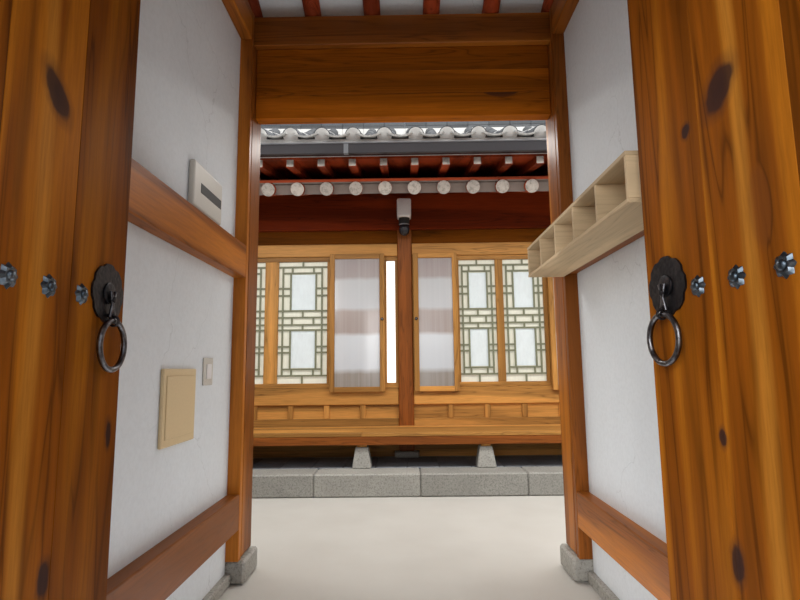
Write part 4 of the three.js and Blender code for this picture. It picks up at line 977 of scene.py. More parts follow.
def leaf_planks(side):
    parts = []
    for start, end in steps(0.0, LEAF_REACH, LEAF_REACH / sizes().planks, 0.0006):
        x = outward(-side, start, end)
        parts.append(block(x, about(0, LEAF_HALF), (LEAF_LOW, LEAF_HIGH), "leaf_Z", 0.0012))
    for z in BATTEN_FEET:
        x = outward(-side, 0.06, LEAF_REACH - 0.03)
        parts.append(timber(x, (LEAF_HALF, LEAF_HALF + BATTEN_DEPTH), (z, z + BATTEN_HEIGHT), "pine", 0.006))
    for z in (LEAF_LOW + (PEG_ROOT - PEG_REACH) / 2, LEAF_HIGH - (PEG_ROOT - PEG_REACH) / 2):
        parts.append(round_bar((0, 0, z), PEG_RADIUS, PEG_ROOT + PEG_REACH, "pine_Z", 24))
    leaf = f"{SIDE_NAMES[side]}_leaf"
    piece(open_leaf(parts, side), f"{leaf}_planks", leaf, [leaf])


def flower_stud():
    """A low domed stud with a ring of petals, modelled about the origin with its face towards -Y."""
    radius = sizes().stud_size / 2
    sides = 4 * STUD_PETALS
    stud = round_bar((0, -0.004, 0), radius, 0.008, "steel", sides, ALONG_Y)
    for k in range(sides):
        angle = k * math.tau / sides
        reach = 0.89 + 0.11 * math.cos(STUD_PETALS * angle)
        spoke = Vector((math.cos(angle), 0, math.sin(angle))) * radius
        near = lambda co: (Vector((co.x, 0, co.z)) - spoke).length < 1e-4
        resize_vertices(stud, near, (reach, 1, reach))
    resize_vertices(stud, lambda co: co.y < -0.006, (0.7, 1, 0.7))
    boss = ball((0, -0.008, 0), radius * 0.42, (1, 0.6, 1), "steel", 16, 8)
    return soften(joined([stud, boss]), 35)


def leaf_studs(side):
    stud = flower_stud()
    places = [-side * (LEAF_REACH - back) for back in STUD_BACKS]
    parts = [placed(stud, Matrix.Translation((x, -LEAF_HALF - 0.0002, STUD_Z))) for x in places]
    discard(stud)
    name = SIDE_NAMES[side]
    piece(open_leaf(parts, side), f"{name}_leaf_studs", f"{name}_leaf", soft=35)


def ring_plate(side):
    """The scalloped back plate, its eye and the two crossed prongs that hold it."""
    x = -side * (LEAF_REACH - HANDLE_BACK)
    face = -LEAF_HALF - GAP
    middle = Vector((x, 0, PLATE_Z))
    plate = round_bar((x, face - 0.003, PLATE_Z), PLATE_RADIUS, 0.006, "iron", 32, ALONG_Y)
    for k in range(0, 32, 4):
        angle = (k + 2) * math.tau / 32
        spoke = middle + Vector((math.cos(angle), 0, math.sin(angle))) * PLATE_RADIUS
        near = lambda co: (Vector((co.x, 0, co.z)) - spoke).length < 0.006
        resize_vertices(plate, near, (0.93, 1, 0.93), middle)
    rim = round_bar((x, face - 0.008, PLATE_Z), 0.03, 0.006, "iron", 24, ALONG_Y, 0.002)
    eye = torus((x, BAR_Y, EYE_Z), ALONG_X, EYE_MEAN, EYE_WIRE, "iron", 20, 8)
    prongs = [round_bar((x, BAR_Y + 0.006, 1.308), 0.0048, 0.078, "ring_iron", 10, (0, lean, 0), 0.001)
              for lean in (-PRONG_LEAN, PRONG_LEAN)]
    tie = round_bar((x, BAR_Y + 0.008, 1.322), 0.009, 0.02, "iron", 12, ALONG_Y, 0.002)
    post = round_bar((x, (BAR_Y + face) / 2, EYE_Z + 0.0165), 0.005, abs(face - BAR_Y), "iron", 12, ALONG_Y)
    name = SIDE_NAMES[side]
    parts = open_leaf([plate, rim, eye, *prongs, tie, post], side)
    piece(parts, f"{name}_ring_back_plate", f"{name}_leaf", [f"{name}_ring_plate"], 35)


def hanging_ring(side):
    centre = (-side * (LEAF_REACH - HANDLE_BACK), BAR_Y, EYE_Z - RING_MEAN)
    ring = torus(centre, ALONG_Y, RING_MEAN, RING_WIRE, "ring_iron", 48, 12)
    name = SIDE_NAMES[side]
    piece(open_leaf([ring], side), f"{name}_hanging_ring", f"{name}_ring", [f"{name}_ring"], 60)


# Passage fittings


def wall_shelf():
    x, y, z = SHELF
    board = SHELF_BOARD
    inside_z = (z[0] + board + GAP, z[1] - board - GAP)
    parts = [
        block(x, y, (z[0], z[0] + board), "ply_Y", 0.0015),
        block(x, y, (z[1] - board, z[1]), "ply_Y", 0.0015),
        block((x[1] - board, x[1]), y, inside_z, "ply_Y", 0),
    ]
    for start in spread(y[0], y[1] - board, SHELF_BAYS + 1):
        across = (x[0] + 0.002, x[1] - board - GAP)
        parts.append(block(across, (start, start + board), inside_z, "ply_X", 0.001))
    piece(parts, "wall_shelf_boards", replaces=["wall_shelf"])


def wall_fittings():
    for name, covers in WALL_COVERS.items():
        piece([block(*cover) for cover in covers], name)


# Main house


def bay_spans():
    return [(left + POST / 2, right - POST / 2) for left, right in zip(COLUMNS, COLUMNS[1:])]


def above_stones(x, y, high, wood_name):
    """A board that stands on the base and is notched around the column stones at both ends."""
    between = (x[0] + 0.052, x[1] - 0.052)
    return [timber(x, y, (COLUMN_FOOT + 0.001, high), wood_name, 0.002),
            timber(between, y, (BASE_TOP + GAP, COLUMN_FOOT + 0.0005), wood_name, 0.002)]


def main_front():
    posts = [timber(post_span(x), post_span(FRONT_Y), (COLUMN_FOOT + GAP, PANEL_TOP - GAP), "red", 0.01)
             for x in COLUMNS]
    parts = [*posts, roof_beam(MAIN_ROOF, MAIN_BEAM_ENDS, post_span(FRONT_Y), PANEL_TOP, "beam")]
    for left, right in bay_spans():
        x = (left + GAP, right - GAP)
        parts += [timber(x, (2.82, 2.92), FLOOR_RAIL, "golden"),
                  timber(x, FRONT_RAIL_Y, SILL, "golden", 0.008),
                  timber(x, FRONT_RAIL_Y, LINTEL, "golden"),
                  timber(x, FRONT_PANEL_Y, (LINTEL[1] + GAP, PANEL_TOP - GAP), "panel", 0.003)]
        parts += above_stones(x, FRONT_PANEL_Y, SILL[0] - GAP, "golden")
        stud_z = (FLOOR_RAIL[1] + GAP, SILL[0] - GAP)
        parts += [timber(about(start, 0.03), (2.825, 2.90), stud_z, "golden")
                  for start, end in steps(left, right, 0.37)[1:]]
    piece(parts, "main_front_timbers", replaces=["main_front_frame"])


def main_rear():
    z = (COLUMN_FOOT + GAP, PANEL_TOP - GAP)
    parts = [timber(post_span(x), post_span(REAR_Y), z, "pine", 0.01) for x in (COLUMNS[0], COLUMNS[3])]
    parts.append(roof_beam(MAIN_ROOF, MAIN_BEAM_ENDS, post_span(REAR_Y), PANEL_TOP, "dark"))
    for y in REAR_LAYERS:
        parts += [timber(post_span(x), y, z, "pine", 0.008) for x in COLUMNS[1:3]]
        for left, right in bay_spans():
            x = (left + GAP, right - GAP)
            parts += above_stones(x, y, FOOT_RAIL_TOP, "pine")
            parts += [timber(x, y, level, "pine") for level in (REAR_SILL, LINTEL)]
    piece(parts, "main_rear_timbers", replaces=["main_rear_frame"])


def main_ends():
    """Ties beside the corner posts, and a middle post with its rails on both faces of the wall."""
    near, far = END_WALL_Y
    post_near, post_far = about(RIDGE_Y, POST / 2 + 0.0005)
    for side, centre in ((-1, COLUMNS[0]), (1, COLUMNS[3])):
        parts = [timber(post_span(centre), y, (COLUMN_FOOT + GAP, 3.1), "pine", 0.003)
                 for y in ((near, near + 0.05), (far - 0.05, far))]
        for layer in END_LAYERS:
            x = (centre + layer[0], centre + layer[1])
            parts.append(timber(x, post_span(RIDGE_Y), (BASE_TOP + 0.0013, 3.4527), "pine", 0.008))
            for y in ((near + 0.0506, post_near), (post_far, far - 0.0506)):
                parts += [timber(x, y, z, "pine") for z in END_RAILS]
        name = SIDE_NAMES[side]
        piece(parts, f"main_{name}_timbers", replaces=[f"main_{name}_frame"])


# Windows


def sash(x, y, z, rim, wood_name, stile_edge=0.003):
    """Two stiles and the two rails between them."""
    inside = (x[0] + rim, x[1] - rim)
    stiles = [timber(span, y, z, wood_name, stile_edge) for span in ((x[0], inside[0]), (inside[1], x[1]))]
    rails = [timber(inside, y, span, wood_name, 0.003) for span in ((z[0], z[0] + rim), (z[1] - rim, z[1]))]
    return stiles + rails


def lattice(x, z, bars, pane, paper):
    """Lattice bars over window paper; each depth is a span on Y, and heights are shares from the top."""
    half = sizes().lattice_bar / 2
    width, height = x[1] - x[0], z[1] - z[0]
    across = lambda share: x[0] + width * share
    down = lambda share: z[1] - height * share
    proud = 0.001 if bars[0] < pane[0] else -0.001
    upright_y = [y - proud for y in bars]
    parts = [block(x, paper, z, "paper", 0)]
    parts += [block((across(0.265), across(0.755)), pane, (down(top), down(foot)), "pane", 0)
              for top, foot in LATTICE_PANES]
    parts += [block(about(across(at), half), upright_y, (down(top), down(foot)), "lattice", 0.001)
              for at, top, foot in LATTICE_UPRIGHTS]
    parts += [block((across(start), across(end)), bars, about(down(at), half), "lattice", 0.001)
              for at, start, end in LATTICE_LEVELS]
    return parts


def glass_leaf(x, side):
    """A glazed leaf that stands proud of the window, with a round pull on the stile of one side."""
    y, z, rim = GLASS_LEAF_Y, GLASS_LEAF_Z, GLASS_LEAF_RIM
    lap = rim - 0.005
    hidden = (x[0] + 0.001, x[1] - 0.001)
    parts = sash(x, y, z, rim, "golden", 0.004)
    parts += [block((x[0] + lap, x[1] - lap), (2.787, 2.793), (z[0] + lap, z[1] - lap), "curtain", 0),
              timber(hidden, (2.8122, 2.8348), (0.931, 2.379), "golden", 0),
              timber(hidden, (2.8352, 2.9048), (0.9805, 2.3295), "golden", 0)]
    stile = x[0] + rim / 2 if side < 0 else x[1] - rim / 2
    parts += [round_bar((stile, 2.765, PULL_Z), 0.017, 0.012, "iron", 20, ALONG_Y, 0.003),
              round_bar((stile, 2.760, PULL_Z), 0.008, 0.012, "ring_iron", 16, ALONG_Y, 0.002)]
    return parts


def front_windows():
    y, z = SASH_Y, SASH_Z
    jamb_z = (z[0] + GAP, z[1] - GAP)
    for k, (left, right) in enumerate(bay_spans()):
        leaves, openings = WINDOW_LEAVES[k], WINDOW_OPENINGS[k]
        x = (left + GAP, right - GAP)
        parts = [timber(x, y, level, "golden", 0.003)
                 for level in ((SILL[1] + GAP, z[0]), (z[1], LINTEL[0] - GAP))]
        parts += glass_leaf(leaves[0], -1) + glass_leaf(leaves[1], 1)
        edges = [leaves[0][1], *openings[0], *openings[1], leaves[1][0]]
        parts += [timber((start + GAP, end - GAP), y, jamb_z, "golden", 0.003)
                  for start, end in zip(edges[::2], edges[1::2])]
        for opening in openings:
            parts += lattice(opening, z, (2.842, 2.860), (2.8605, 2.8645), PAPER_Y)
        for start, end in ((x[0], leaves[0][0]), (leaves[1][1], x[1])):
            if end - start > 0.1:
                inner = (start + 0.02, end - 0.03)
                parts += [timber((start, inner[0]), y, jamb_z, "golden", 0.002),
                          timber((inner[1], end), y, jamb_z, "golden", 0.002),
                          block((inner[0] - 0.003, inner[1] + 0.003), PAPER_Y, z, "daylight", 0)]
            else:
                parts.append(timber((start, end - GAP), y, jamb_z, "golden", 0.001))
        piece(parts, f"front_window_{k + 1}_sashes", replaces=[f"front_window_{k + 1}"])


def rear_windows():
    z, rim = REAR_SASH_Z, REAR_SASH_RIM
    inside_z = (z[0] + rim, z[1] - rim)
    for k, (left, right) in enumerate(bay_spans()):
        middle = (left + right) / 2
        parts = []
        for x in ((middle - 0.5994, middle - 0.0003), (middle + 0.0003, middle + 0.5994)):
            parts += sash(x, REAR_SASH_Y, z, rim, "pine")
            inside = (x[0] + rim - 0.002, x[1] - rim + 0.002)
            parts += lattice(inside, inside_z, (5.805, 5.823), (5.8005, 5.8045), (5.794, 5.800))
            parts.append(block(inside, (5.76, 5.79), inside_z, "paper", 0))
        piece(parts, f"rear_window_{k + 1}_sashes", replaces=[f"rear_window_{k + 1}"])


# Porch and base


def porch_floor():
    """Boards whose joints lie over the porch stones, two long beams and short joists on blocks."""
    x, y = PORCH_X, (PORCH_FRONT, PORCH_BACK)
    joint = 0.0015
    parts = []
    for row in steps(*y, 0.13, joint):
        joints = [x[0], *sorted(draw.sample(PORCH_STONES, 2)), x[1]]
        parts += [timber((start, end - joint), row, (BOARD_LOW, PORCH_TOP), "golden", 0.003)
                  for start, end in zip(joints, joints[1:])]
    beams = ((y[0] + 0.002, y[0] + 0.08), (y[1] - 0.08, y[1] - 0.002))
    parts += [timber((x[0] + 0.002, x[1] - 0.002), span, (PORCH_LOW, BEAM_TOP), "red", 0.006)
              for span in beams]
    between = (beams[0][1] + GAP, beams[1][0] - GAP)
    pad_y, pad_z = about(PORCH_STONE_Y, 0.045), (PORCH_STONE_TOP + GAP, 0.434)
    for stone_x in PORCH_STONES:
        parts.append(timber(about(stone_x, 0.04), between, (PORCH_LOW + 0.02, BEAM_TOP), "golden"))
        parts.append(block(about(stone_x, 0.045), pad_y, pad_z, "golden_Z", 0.004))
    piece(parts, "porch_boards", replaces=["porch"])


def porch_lamp():
    """A white housing with a dark lens under it, closed by a dome."""
    parts = [
        block((-0.078, 0.078), (2.63, 2.7997), (2.78, 2.99), "housing", 0.022, 4),
        round_bar((0, LAMP_Y, 2.746), 0.060, 0.070, "slot", 40, edge=0.004),
        round_bar((0, LAMP_Y, 2.705), 0.057, 0.014, "gutter_edge", 40),
        round_bar((0, LAMP_Y, 2.672), 0.0585, 0.054, "smoked", 40, edge=0.002),
    ]
    dome = ball((0, LAMP_Y, 2.645), 0.058, (1, 1, 1.1), "smoked", 40, 20)
    parts.append(sliced(dome, (0, LAMP_Y, 2.646), (0, 0, 1)))
    piece(parts, "porch_lamp_shell", replaces=["porch_lamp"], soft=35)


def kerb(x, y):
    return block(x, y, (0, BASE_TOP), "granite", 0.012)


def stone_base():
    """Granite blocks around the edge, a brick walk under the porch and the stones that carry posts."""
    left, between, right = BASE_WIDTHS
    front = (BASE_FRONT, BASE_FRONT + BASE_EDGE)
    back = (BASE_BACK - BASE_EDGE, BASE_BACK)
    joint = 0.003
    parts = [block(between, (front[1], WALK_BACK), (0, 0.184), "brick", 0),
             block((-2.999, 5.149), (2.801, back[0] - 0.001), (0, BASE_TOP - GAP), "granite", 0)]
    for x in (left, between, right):
        parts += [kerb(span, front) for span in steps(*x, 1.0, joint)]
    parts += [kerb(x, (front[1] + joint, 2.798)) for x in (left, right)]
    for x in ((left[0], -3.0), (5.15, right[1])):
        parts += [kerb(x, span) for span in steps(2.801, back[0], 1.0, joint)]
    parts += [kerb(span, back) for span in steps(left[0], right[1], 1.0, joint)]
    parts += [block(x, y, (0.1845, BASE_TOP), "brick", 0.003) for x in steps(*between, 0.3, 0.004)
              for y in steps(front[1] + joint, WALK_BACK, 0.3, 0.004)]
    parts += [block(about(x, 0.13), about(y, 0.13), (BASE_TOP - 0.002, COLUMN_FOOT), "granite", 0.012)
              for x in COLUMNS for y in (FRONT_Y, REAR_Y)]
    for x in PORCH_STONES:
        foot = block(about(x, 0.09), about(PORCH_STONE_Y, 0.09), (BASE_TOP - 0.002, PORCH_STONE_TOP),
                     "granite", 0.01)
        resize_vertices(foot, lambda co: co.z > 0.3, (0.68, 0.68, 1), (x, PORCH_STONE_Y, 0))
        parts.append(foot)
    piece(parts, "main_base_stones", replaces=["main_base"])


# Roofs


def rafter_set(roof, places, name, soffit, offset, reach, infill=None):
    """Round rafters with limed ends, the boards on them and plaster between them.

    The plaster lies at the offset above the rafters' middles over the reach, and an infill also closes the
    gaps between them at one distance from the ridge.
    """
    flat, tip = roof["flat"], roof["tip"]
    slope = math.hypot(1, roof["rise"])
    length_along = (tip - 0.04) * slope
    log = round_bar((0, 0, 0), flat + 0.0005, length_along, "dark_Y", 20, ALONG_Y)
    end = round_bar((0, -length_along / 2, 0), flat - 0.001, 0.006, "rafter_end", 24, ALONG_Y, 0.002)
    model = soften(joined([log, end]))
    middle, width = (roof["left"] + roof["right"]) / 2, roof["right"] - roof["left"] - 0.04
    boards = block(about(0, width / 2), about(0, (tip - 0.0204) * slope / 2),
                   (flat - 0.0015, flat + roof["deck"]), "dark_X", 0)
    half = math.sqrt(flat ** 2 - offset ** 2)
    faces = [x + step for x in places for step in (-half, half)]
    edges = [roof["left"] + 0.022, *faces, roof["right"] - 0.022]
    run = (reach[1] - reach[0]) * slope
    sheets = [((offset, flat - 0.002), run / 2, sum(reach) / 2)]
    if infill:
        sheets.append(((-flat * 0.8, flat - 0.002), 0.01, infill))
    for side, end_name in SLOPE_NAMES.items():
        parts = [placed(model, on_slope(roof, side, (tip + 0.04) / 2, x)) for x in places]
        parts.append(placed(boards, on_slope(roof, side, tip / 2 - 0.01, middle)))
        plates = []
        for start, stop in zip(edges[::2], edges[1::2]):
            for z, half_run, distance in sheets:
                plate = block(about(0, (stop - start) / 2), about(0, half_run), z, soffit, 0)
                plate.data.transform(on_slope(roof, side, distance, (start + stop) / 2))
                plates.append(plate)
        rafters = f"{name}_rafters_{end_name}"
        piece(parts, f"{name}_round_rafters_{end_name}", replaces=[rafters])
        piece(plates, f"{name}_soffit_{end_name}")
    discard(model, boards)


def round_tile(radius, reach):
    """A round tile that is sunk in its bed and flared where it covers the next one."""
    tile = round_bar((0, 0, 0), radius, reach, "tile", 14, ALONG_Y)
    resize_vertices(tile, lambda co: co.y < 0, (1.07, 1, 1.07))
    return soften(sliced(tile, (0, 0, -0.43 * radius), (0, 0, -1)), 45)


def hollow_tile(width, reach, sag):
    """A curved tile that carries water between two rows of round tiles."""
    deselect_all()
    bpy.ops.mesh.primitive_grid_add(x_subdivisions=6, y_subdivisions=1, size=1)
    bpy.ops.transform.resize(value=(width, reach, 1))
    tile = apply_place()
    for share in (1 / 3, 2 / 3, 1):
        column = lambda co: abs(abs(co.x) - share * width / 2) < 1e-4
        move_vertices(tile, column, (0, 0, sag * share * share))
    with_modifier(tile, "SOLIDIFY", thickness=0.014, offset=-1)
    return soften(finished(tile, "tile"), 45)


def tile_field(roof, name, count):
    """Rows of round tiles over hollow tiles on both slopes, with limed ends at the eave."""
    radius = sizes().tile_radius
    low, high = 0.14, roof["eave"]
    rows = steps(low, high, sizes().tile_length)
    courses = steps(low, high, sizes().course_step)
    places = spread(roof["left"] + 0.08, roof["right"] - 0.08, count)
    gaps = [(a + b) / 2 for a, b in zip(places, places[1:])]
    tile = round_tile(radius, (rows[0][1] - rows[0][0]) * 1.12)
    trough = hollow_tile(gaps[1] - gaps[0] - radius * 0.9, (courses[0][1] - courses[0][0]) * 1.75, 0.030)
    end = soften(round_bar((0, 0, 0), radius * 0.95, 0.02, "lime", 24, ALONG_Y, 0.005))
    raised = ROUND_TILE_RAISED
    for side, end_name in SLOPE_NAMES.items():
        covers = [placed(tile, on_bed(roof, side, (a + b) / 2, x, raised)) for x in places for a, b in rows]
        covers += [placed(end, on_bed(roof, side, high + 0.004, x, raised)) for x in places]
        troughs = [placed(trough, on_bed(roof, side, (a + b) / 2, x, HOLLOW_TILE_RAISED, HOLLOW_TILE_EASE))
                   for x in gaps for a, b in courses]
        # Painted light: the lowest hollow tile of each row takes the near-white eave tile, for the sunlight
        # along the eave
        for lowest in troughs[len(courses) - 1::len(courses)]:
            paint_all(lowest, "eave_tile")
        piece(covers, f"{name}_round_tiles_{end_name}")
        piece(troughs, f"{name}_hollow_tiles_{end_name}")
    discard(tile, trough, end)


def edge_tiles(roof, name):
    """Short tiles laid across both gable edges of a roof, with limed ends that look outwards."""
    cover = round_tile(0.06, 0.17)
    end = round_bar((0, -0.083, 0), 0.052, 0.014, "lime", 20, ALONG_Y, 0.004)
    model = joined([cover, end])
    for side, end_name in SLOPE_NAMES.items():
        parts = []
        for x, out in ((roof["left"] + 0.062, -1), (roof["right"] - 0.062, 1)):
            across = Matrix.Rotation(-side * out * RIGHT_ANGLE, 4, "Z")
            parts += [placed(model, on_bed(roof, side, (a + b) / 2, x, -0.045) @ across)
                      for a, b in steps(0.16, roof["eave"] - 0.03, 0.165)]
        piece(parts, f"{name}_edge_tiles_{end_name}", soft=45)
    discard(model)


def ridge_tiles(roof, name):
    """A limed foot, courses of flat tiles that rise towards both ends, and a row of round tiles."""
    foot, top, courses = 0.15, 0.098, roof["ridge_courses"]
    peak, base = bed_height(roof, 0), bed_height(roof, foot)
    height = roof["ridge_height"] - 0.05
    centre = roof["ridge_y"]
    flat = block(about(0, 0.5), about(0, 0.5), (0, 1), "tile", 0.02)
    lime = block(about(0, 0.5), about(0, 0.5), (0, 1), "lime", 0.02)
    cover = round_tile(0.082, 0.33)
    parts = []

    def level(x, share):
        return peak + end_lift(roof, x) + share * (height + 0.6 * end_lift(roof, x))

    def tilt(start, end, share):
        rise = level(end, share) - level(start, share)
        return Matrix.Rotation(-math.atan(rise / (end - start)), 4, "Y")

    def course(model, start, end, half, low, high, share):
        place = Matrix.Translation(((start + end) / 2, centre, low)) @ tilt(start, end, share)
        parts.append(placed(model, place @ Matrix.Diagonal((end - start - 0.003, 2 * half, high - low, 1))))

    for start, end in steps(roof["left"], roof["right"], 0.3):
        middle = (start + end) / 2
        low = base + end_lift(roof, middle) - 0.03
        course(lime, start, end, foot + 0.01, low, level(middle, 0.03), 0)
        for k in range(courses):
            low, high = 0.03 + 0.97 * k / courses, 0.03 + 0.97 * (k + 1) / courses
            half = foot + (top - foot) * low + (0.008 if k % 2 else 0.0)
            course(flat, start, end, half, level(middle, low), level(middle, high) - 0.004, low)
        across = tilt(start, end, 1) @ Matrix.Rotation(RIGHT_ANGLE, 4, "Z")
        parts.append(placed(cover, Matrix.Translation((middle, centre, level(middle, 1))) @ across))
    for x, out in ((roof["left"], -1), (roof["right"], 1)):
        for share in (0.35, 0.8):
            disc_place = (x + out * 0.006, centre, level(x, share))
            parts.append(round_bar(disc_place, 0.07, 0.03, "lime", 28, ALONG_X, 0.006))
    discard(flat, lime, cover)
    piece(parts, f"{name}_ridge_tiles", replaces=[f"{name}_ridge"])


def eave_details():
    """Pale ends on the flying rafters and a gutter under the tiles, along both main eaves."""
    centre = Vector((MAIN_MIDDLE, RIDGE_Y, 0))
    left, right = MAIN_ROOF["left"], MAIN_ROOF["right"]
    for side, end_name in SLOPE_NAMES.items():
        flip = Matrix.Translation(centre) @ facing(side) @ Matrix.Translation(-centre)
        shift = 2 * MAIN_MIDDLE - MAIN_RAFTERS[0] - MAIN_RAFTERS[-1] if side > 0 else 0
        cap = block(about(0, 0.031), (1.475, 1.4798), (2.903, 2.967), "rafter_end", 0.002)
        caps = [placed(cap, flip @ Matrix.Translation((x + shift, 0, 0))) for x in MAIN_RAFTERS]
        discard(cap)
        piece(caps, f"flying_rafter_ends_{end_name}")
        gutter = [block((left, right), y, z, "gutter", 0.001) for y, z in GUTTER_SIDES]
        # Painted light: the lip along the gutter's top takes a pale grey, lighter than the dark gutter, for
        # the light on its upper edge
        lip = (MAIN_MIDDLE, 1.413, 3.088)
        gutter.append(round_bar(lip, 0.007, right - left, "gutter_edge", 12, ALONG_X))
        gutter += [block(about(at, 0.02), (1.4105, 1.449), (2.992, 3.094), "gutter_edge", 0.002)
                   for at in GUTTER_BRACKETS]
        for part in gutter:
            part.data.transform(flip)
        piece(gutter, f"eave_gutter_{end_name}", soft=35)


# Yard walls


def wall_stones(name, matrix, ends, low_stop):
    """Granite courses on both faces of a wall that runs along X before it is placed.

    The lowest course ends at the low stop, where the main house's base takes over.
    """
    model = block((-0.094, 0.094), (-0.016, 0.0), (0, WALL_STONE_RISE), "granite", 0.012)
    parts = []
    for course in range(WALL_COURSES):
        for start, end in steps(*ends, WALL_STONE):
            shift = (end - start) / 2 if course % 2 else 0.0
            middle = (start + end) / 2 + shift
            if middle > ends[1] - 0.09 or (course == 0 and middle > low_stop):
                continue
            for side in (-1, 1):
                place = Matrix.Translation((middle, side * WALL_STONE_Y, course * WALL_STONE))
                parts.append(placed(model, matrix @ place @ facing(side)))
    discard(model)
    piece(parts, f"{name}_stones")


def wall_coping(name, matrix, ends):
    """Round and hollow tiles down both slopes of the same wall's coping, and a row of caps along its top."""
    tile = round_tile(0.05, 0.39)
    trough = hollow_tile(0.15, 0.39, 0.02)
    disc = round_bar((0, -0.198, 0), 0.044, 0.014, "lime", 20, ALONG_Y, 0.004)
    cap = round_tile(0.075, 0.34)
    parts = []
    for side in (-1, 1):
        lay = facing(side) @ Matrix.Translation(COPING_MIDDLE) @ Matrix.Rotation(COPING_SLOPE, 4, "X")
        for start, end in steps(*ends, 0.2):
            x = -side * (start + 0.03)
            for model, at, raised in ((tile, x, 0.026), (disc, x, 0.026), (trough, x - side * 0.1, 0.018)):
                parts.append(placed(model, matrix @ lay @ Matrix.Translation((at, 0, raised))))
    for start, end in steps(*ends, 0.3):
        top = Matrix.Translation(((start + end) / 2, 0, COPING_CAP_Z))
        parts.append(placed(cap, matrix @ (top @ Matrix.Rotation(RIGHT_ANGLE, 4, "Z"))))
    discard(tile, trough, disc, cap)
    piece(parts, f"{name}_tiles")


def yard_walls():
    street = Matrix.Translation((0, STREET_WALL_Y, 0))
    left, right = [Matrix.Translation((x, 0, 0)) @ Matrix.Rotation(RIGHT_ANGLE, 4, "Z")
                   for x in (COLUMNS[0], COLUMNS[3])]
    for name, matrix, stone_ends, coping_ends, low_stop in (
        ("left_street_wall", street, (-3.05, -1.14), (-3.16, -1.12), NO_STOP),
        ("right_street_wall", street, (1.14, 5.2), (1.12, 5.31), NO_STOP),
        ("left_yard_wall", left, (-2.19, 2.78), (-2.04, 2.69), 1.78),
        ("right_yard_wall", right, (-2.19, 2.78), (-2.04, 2.69), 1.78),
    ):
        wall_stones(name, matrix, stone_ends, low_stop)
        wall_coping(name, matrix, coping_ends)


def dress_nodes():
    """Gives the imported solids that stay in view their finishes."""
    for material, names in NODE_FINISHES.items():
        for name in names:
            paint_all(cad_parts[name], material)


# Stage


def stage_floor():
    deselect_all()
    bpy.ops.mesh.primitive_plane_add(size=60, location=(0, 0, -0.002))
    floor = bpy.context.object
    floor.name = "studio_floor"
    paint = Paint("Studio floor", 0.85)
    clouds = paint.ramp(paint.noise(paint.place, 2.0), [(0.3, 0), (0.7, 1)])
    paint.set("Base Color", paint.mix(clouds, (0.52, 0.50, 0.46), (0.57, 0.555, 0.515)))
    floor.data.materials.append(paint.material)


def area_light(name, place, aim, size, power, colour=(1, 1, 1), opening=180):
    deselect_all()
    bpy.ops.object.light_add(type="AREA", location=place)
    light = bpy.context.object
    light.name = name
    light.data.shape = "RECTANGLE"
    light.data.size, light.data.size_y = size
    light.visible_camera = False
    light.data.energy = power
    light.data.color = colour
    light.data.spread = math.radians(opening)
    light.rotation_euler = (Vector(aim) - Vector(place)).to_track_quat("-Z", "Y").to_euler()


def stage_lights():
    world = bpy.context.scene.world or bpy.data.worlds.new("Studio")
    bpy.context.scene.world = world
    world.use_nodes = True
    background = world.node_tree.nodes["Background"]
    background.inputs["Color"].default_value = SKY
    background.inputs["Strength"].default_value = SKY_STRENGTH
    for name, settings in LIGHTS.items():
        area_light(name, *settings)


def stage_camera():
    deselect_all()
    bpy.ops.object.camera_add(location=CAMERA_PLACE, rotation=[math.radians(turn) for turn in CAMERA_TURN])
    camera = bpy.context.object
    camera.data.sensor_width = 36.0
    camera.data.lens = CAMERA_LENS
    camera.data.clip_start = 0.01
    camera.data.clip_end = 200
    bpy.context.scene.camera = camera
    bpy.context.scene.view_settings.view_transform = "Standard"


# Operators


class HANOK_OT_stage(bpy.types.Operator):
    """Sets up the pale floor, the soft lights and the camera."""

    bl_idname = "hanok.stage"
    bl_label = "Stage"

    def execute(self, context):
        stage_floor()
        stage_lights()
        stage_camera()
        return {"FINISHED"}


class HANOK_OT_gate_timbers(bpy.types.Operator):
    """Builds the gatehouse's posts, beams, boards, door frame and wall framing."""

    bl_idname = "hanok.gate_timbers"
    bl_label = "Gate timbers"

    def execute(self, context):
        gate_frames()
        gate_boards()
        door_frame()
        passage_walls()
        return {"FINISHED"}


class HANOK_OT_gate_leaves(bpy.types.Operator):
    """Builds the two plank leaves of the gate with their studs, plates and rings."""

    bl_idname = "hanok.gate_leaves"
    bl_label = "Gate leaves"

    def execute(self, context):
        for side in (-1, 1):
            leaf_planks(side)
            leaf_studs(side)
            ring_plate(side)
            hanging_ring(side)
        return {"FINISHED"}


class HANOK_OT_passage_fittings(bpy.types.Operator):
    """Builds the wall shelf, the small wall fittings and the gate's stones."""

    bl_idname = "hanok.passage_fittings"
    bl_label = "Passage fittings"

    def execute(self, context):
        wall_shelf()
        wall_fittings()
        gate_stones()
        return {"FINISHED"}


class HANOK_OT_main_timbers(bpy.types.Operator):
    """Builds the main house's posts, rails, beams and panels."""

    bl_idname = "hanok.main_timbers"
    bl_label = "Main timbers"

    def execute(self, context):
        main_front()
        main_rear()
        main_ends()
        return {"FINISHED"}


class HANOK_OT_windows(bpy.types.Operator):
    """Builds the glazed leaves and the papered lattice windows."""

    bl_idname = "hanok.windows"
    bl_label = "Windows"

    def execute(self, context):
        front_windows()
        rear_windows()
        return {"FINISHED"}


class HANOK_OT_porch(bpy.types.Operator):
    """Builds the porch floor, its lamp and the stone base."""

    bl_idname = "hanok.porch"
    bl_label = "Porch and base"

    def execute(self, context):
        porch_floor()
        porch_lamp()
        stone_base()
        return {"FINISHED"}


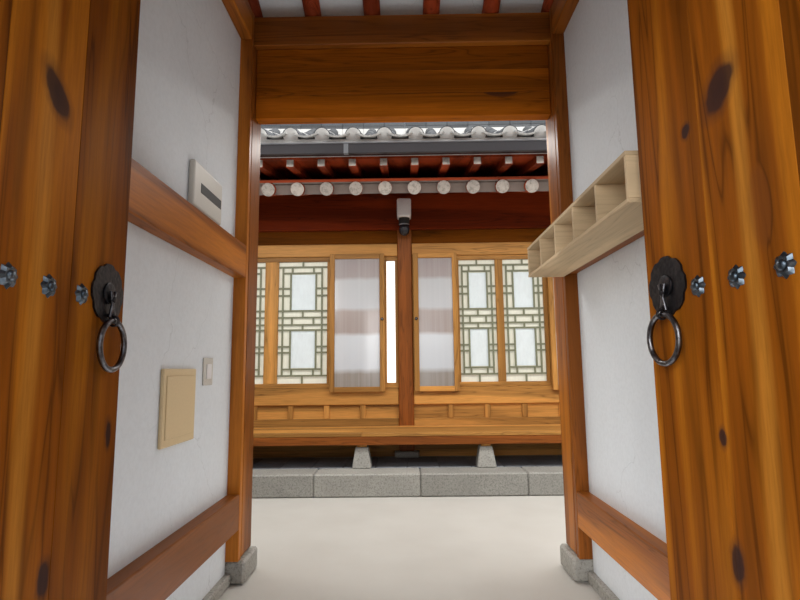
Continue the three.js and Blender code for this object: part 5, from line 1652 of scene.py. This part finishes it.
class HANOK_OT_roofs(bpy.types.Operator):
    """Builds the rafters, tiles, ridges and eaves of both roofs."""

    bl_idname = "hanok.roofs"
    bl_label = "Roofs"

    def execute(self, context):
        rafter_set(GATE_ROOF, GATE_RAFTERS, "gate", "plaster", 0.038, (0.05, 1.905))
        # The main roof's plaster between the rafters takes the soffit finish, painted in the shade of its
        # eave
        rafter_set(MAIN_ROOF, MAIN_RAFTERS, "main", "soffit", 0.05, (1.53, 2.508), 2.47)
        for roof, name in ((GATE_ROOF, "gate"), (MAIN_ROOF, "main")):
            tile_field(roof, name, roof["columns"])
            edge_tiles(roof, name)
            ridge_tiles(roof, name)
        eave_details()
        return {"FINISHED"}


class HANOK_OT_yard_walls(bpy.types.Operator):
    """Builds the granite courses and the coping tiles of the yard walls."""

    bl_idname = "hanok.yard_walls"
    bl_label = "Yard walls"

    def execute(self, context):
        yard_walls()
        return {"FINISHED"}


class HANOK_OT_dress(bpy.types.Operator):
    """Gives the solids that stay in view their finishes."""

    bl_idname = "hanok.dress"
    bl_label = "Finish on the solids"

    def execute(self, context):
        dress_nodes()
        return {"FINISHED"}


class HANOK_PT_panel(bpy.types.Panel):
    """Lists the sizes and colours, and the steps that build the house's finish."""

    bl_label = "Hanok House"
    bl_idname = "HANOK_PT_panel"
    bl_space_type = "VIEW_3D"
    bl_region_type = "UI"
    bl_category = "Hanok"

    def draw(self, context):
        for group in (context.scene.hanok_sizes, context.scene.hanok_colours):
            for name in group.bl_rna.properties.keys():
                if name not in ("rna_type", "name"):
                    self.layout.prop(group, name)
        for operator in operators:
            self.layout.operator(operator.bl_idname)


operators = [
    HANOK_OT_stage,
    HANOK_OT_gate_timbers,
    HANOK_OT_gate_leaves,
    HANOK_OT_passage_fittings,
    HANOK_OT_main_timbers,
    HANOK_OT_windows,
    HANOK_OT_porch,
    HANOK_OT_roofs,
    HANOK_OT_yard_walls,
    HANOK_OT_dress,
]
classes = [HanokSizes, HanokColours, *operators, HANOK_PT_panel]


def register():
    for item in classes:
        bpy.utils.register_class(item)
    bpy.types.Scene.hanok_sizes = PointerProperty(type=HanokSizes)
    bpy.types.Scene.hanok_colours = PointerProperty(type=HanokColours)


def unregister():
    del bpy.types.Scene.hanok_sizes
    del bpy.types.Scene.hanok_colours
    for item in reversed(classes):
        bpy.utils.unregister_class(item)


def main():
    register()
    make_materials()
    for operator in operators:
        group, name = operator.bl_idname.split(".")
        getattr(getattr(bpy.ops, group), name)()


if __name__ == "__main__":
    main()
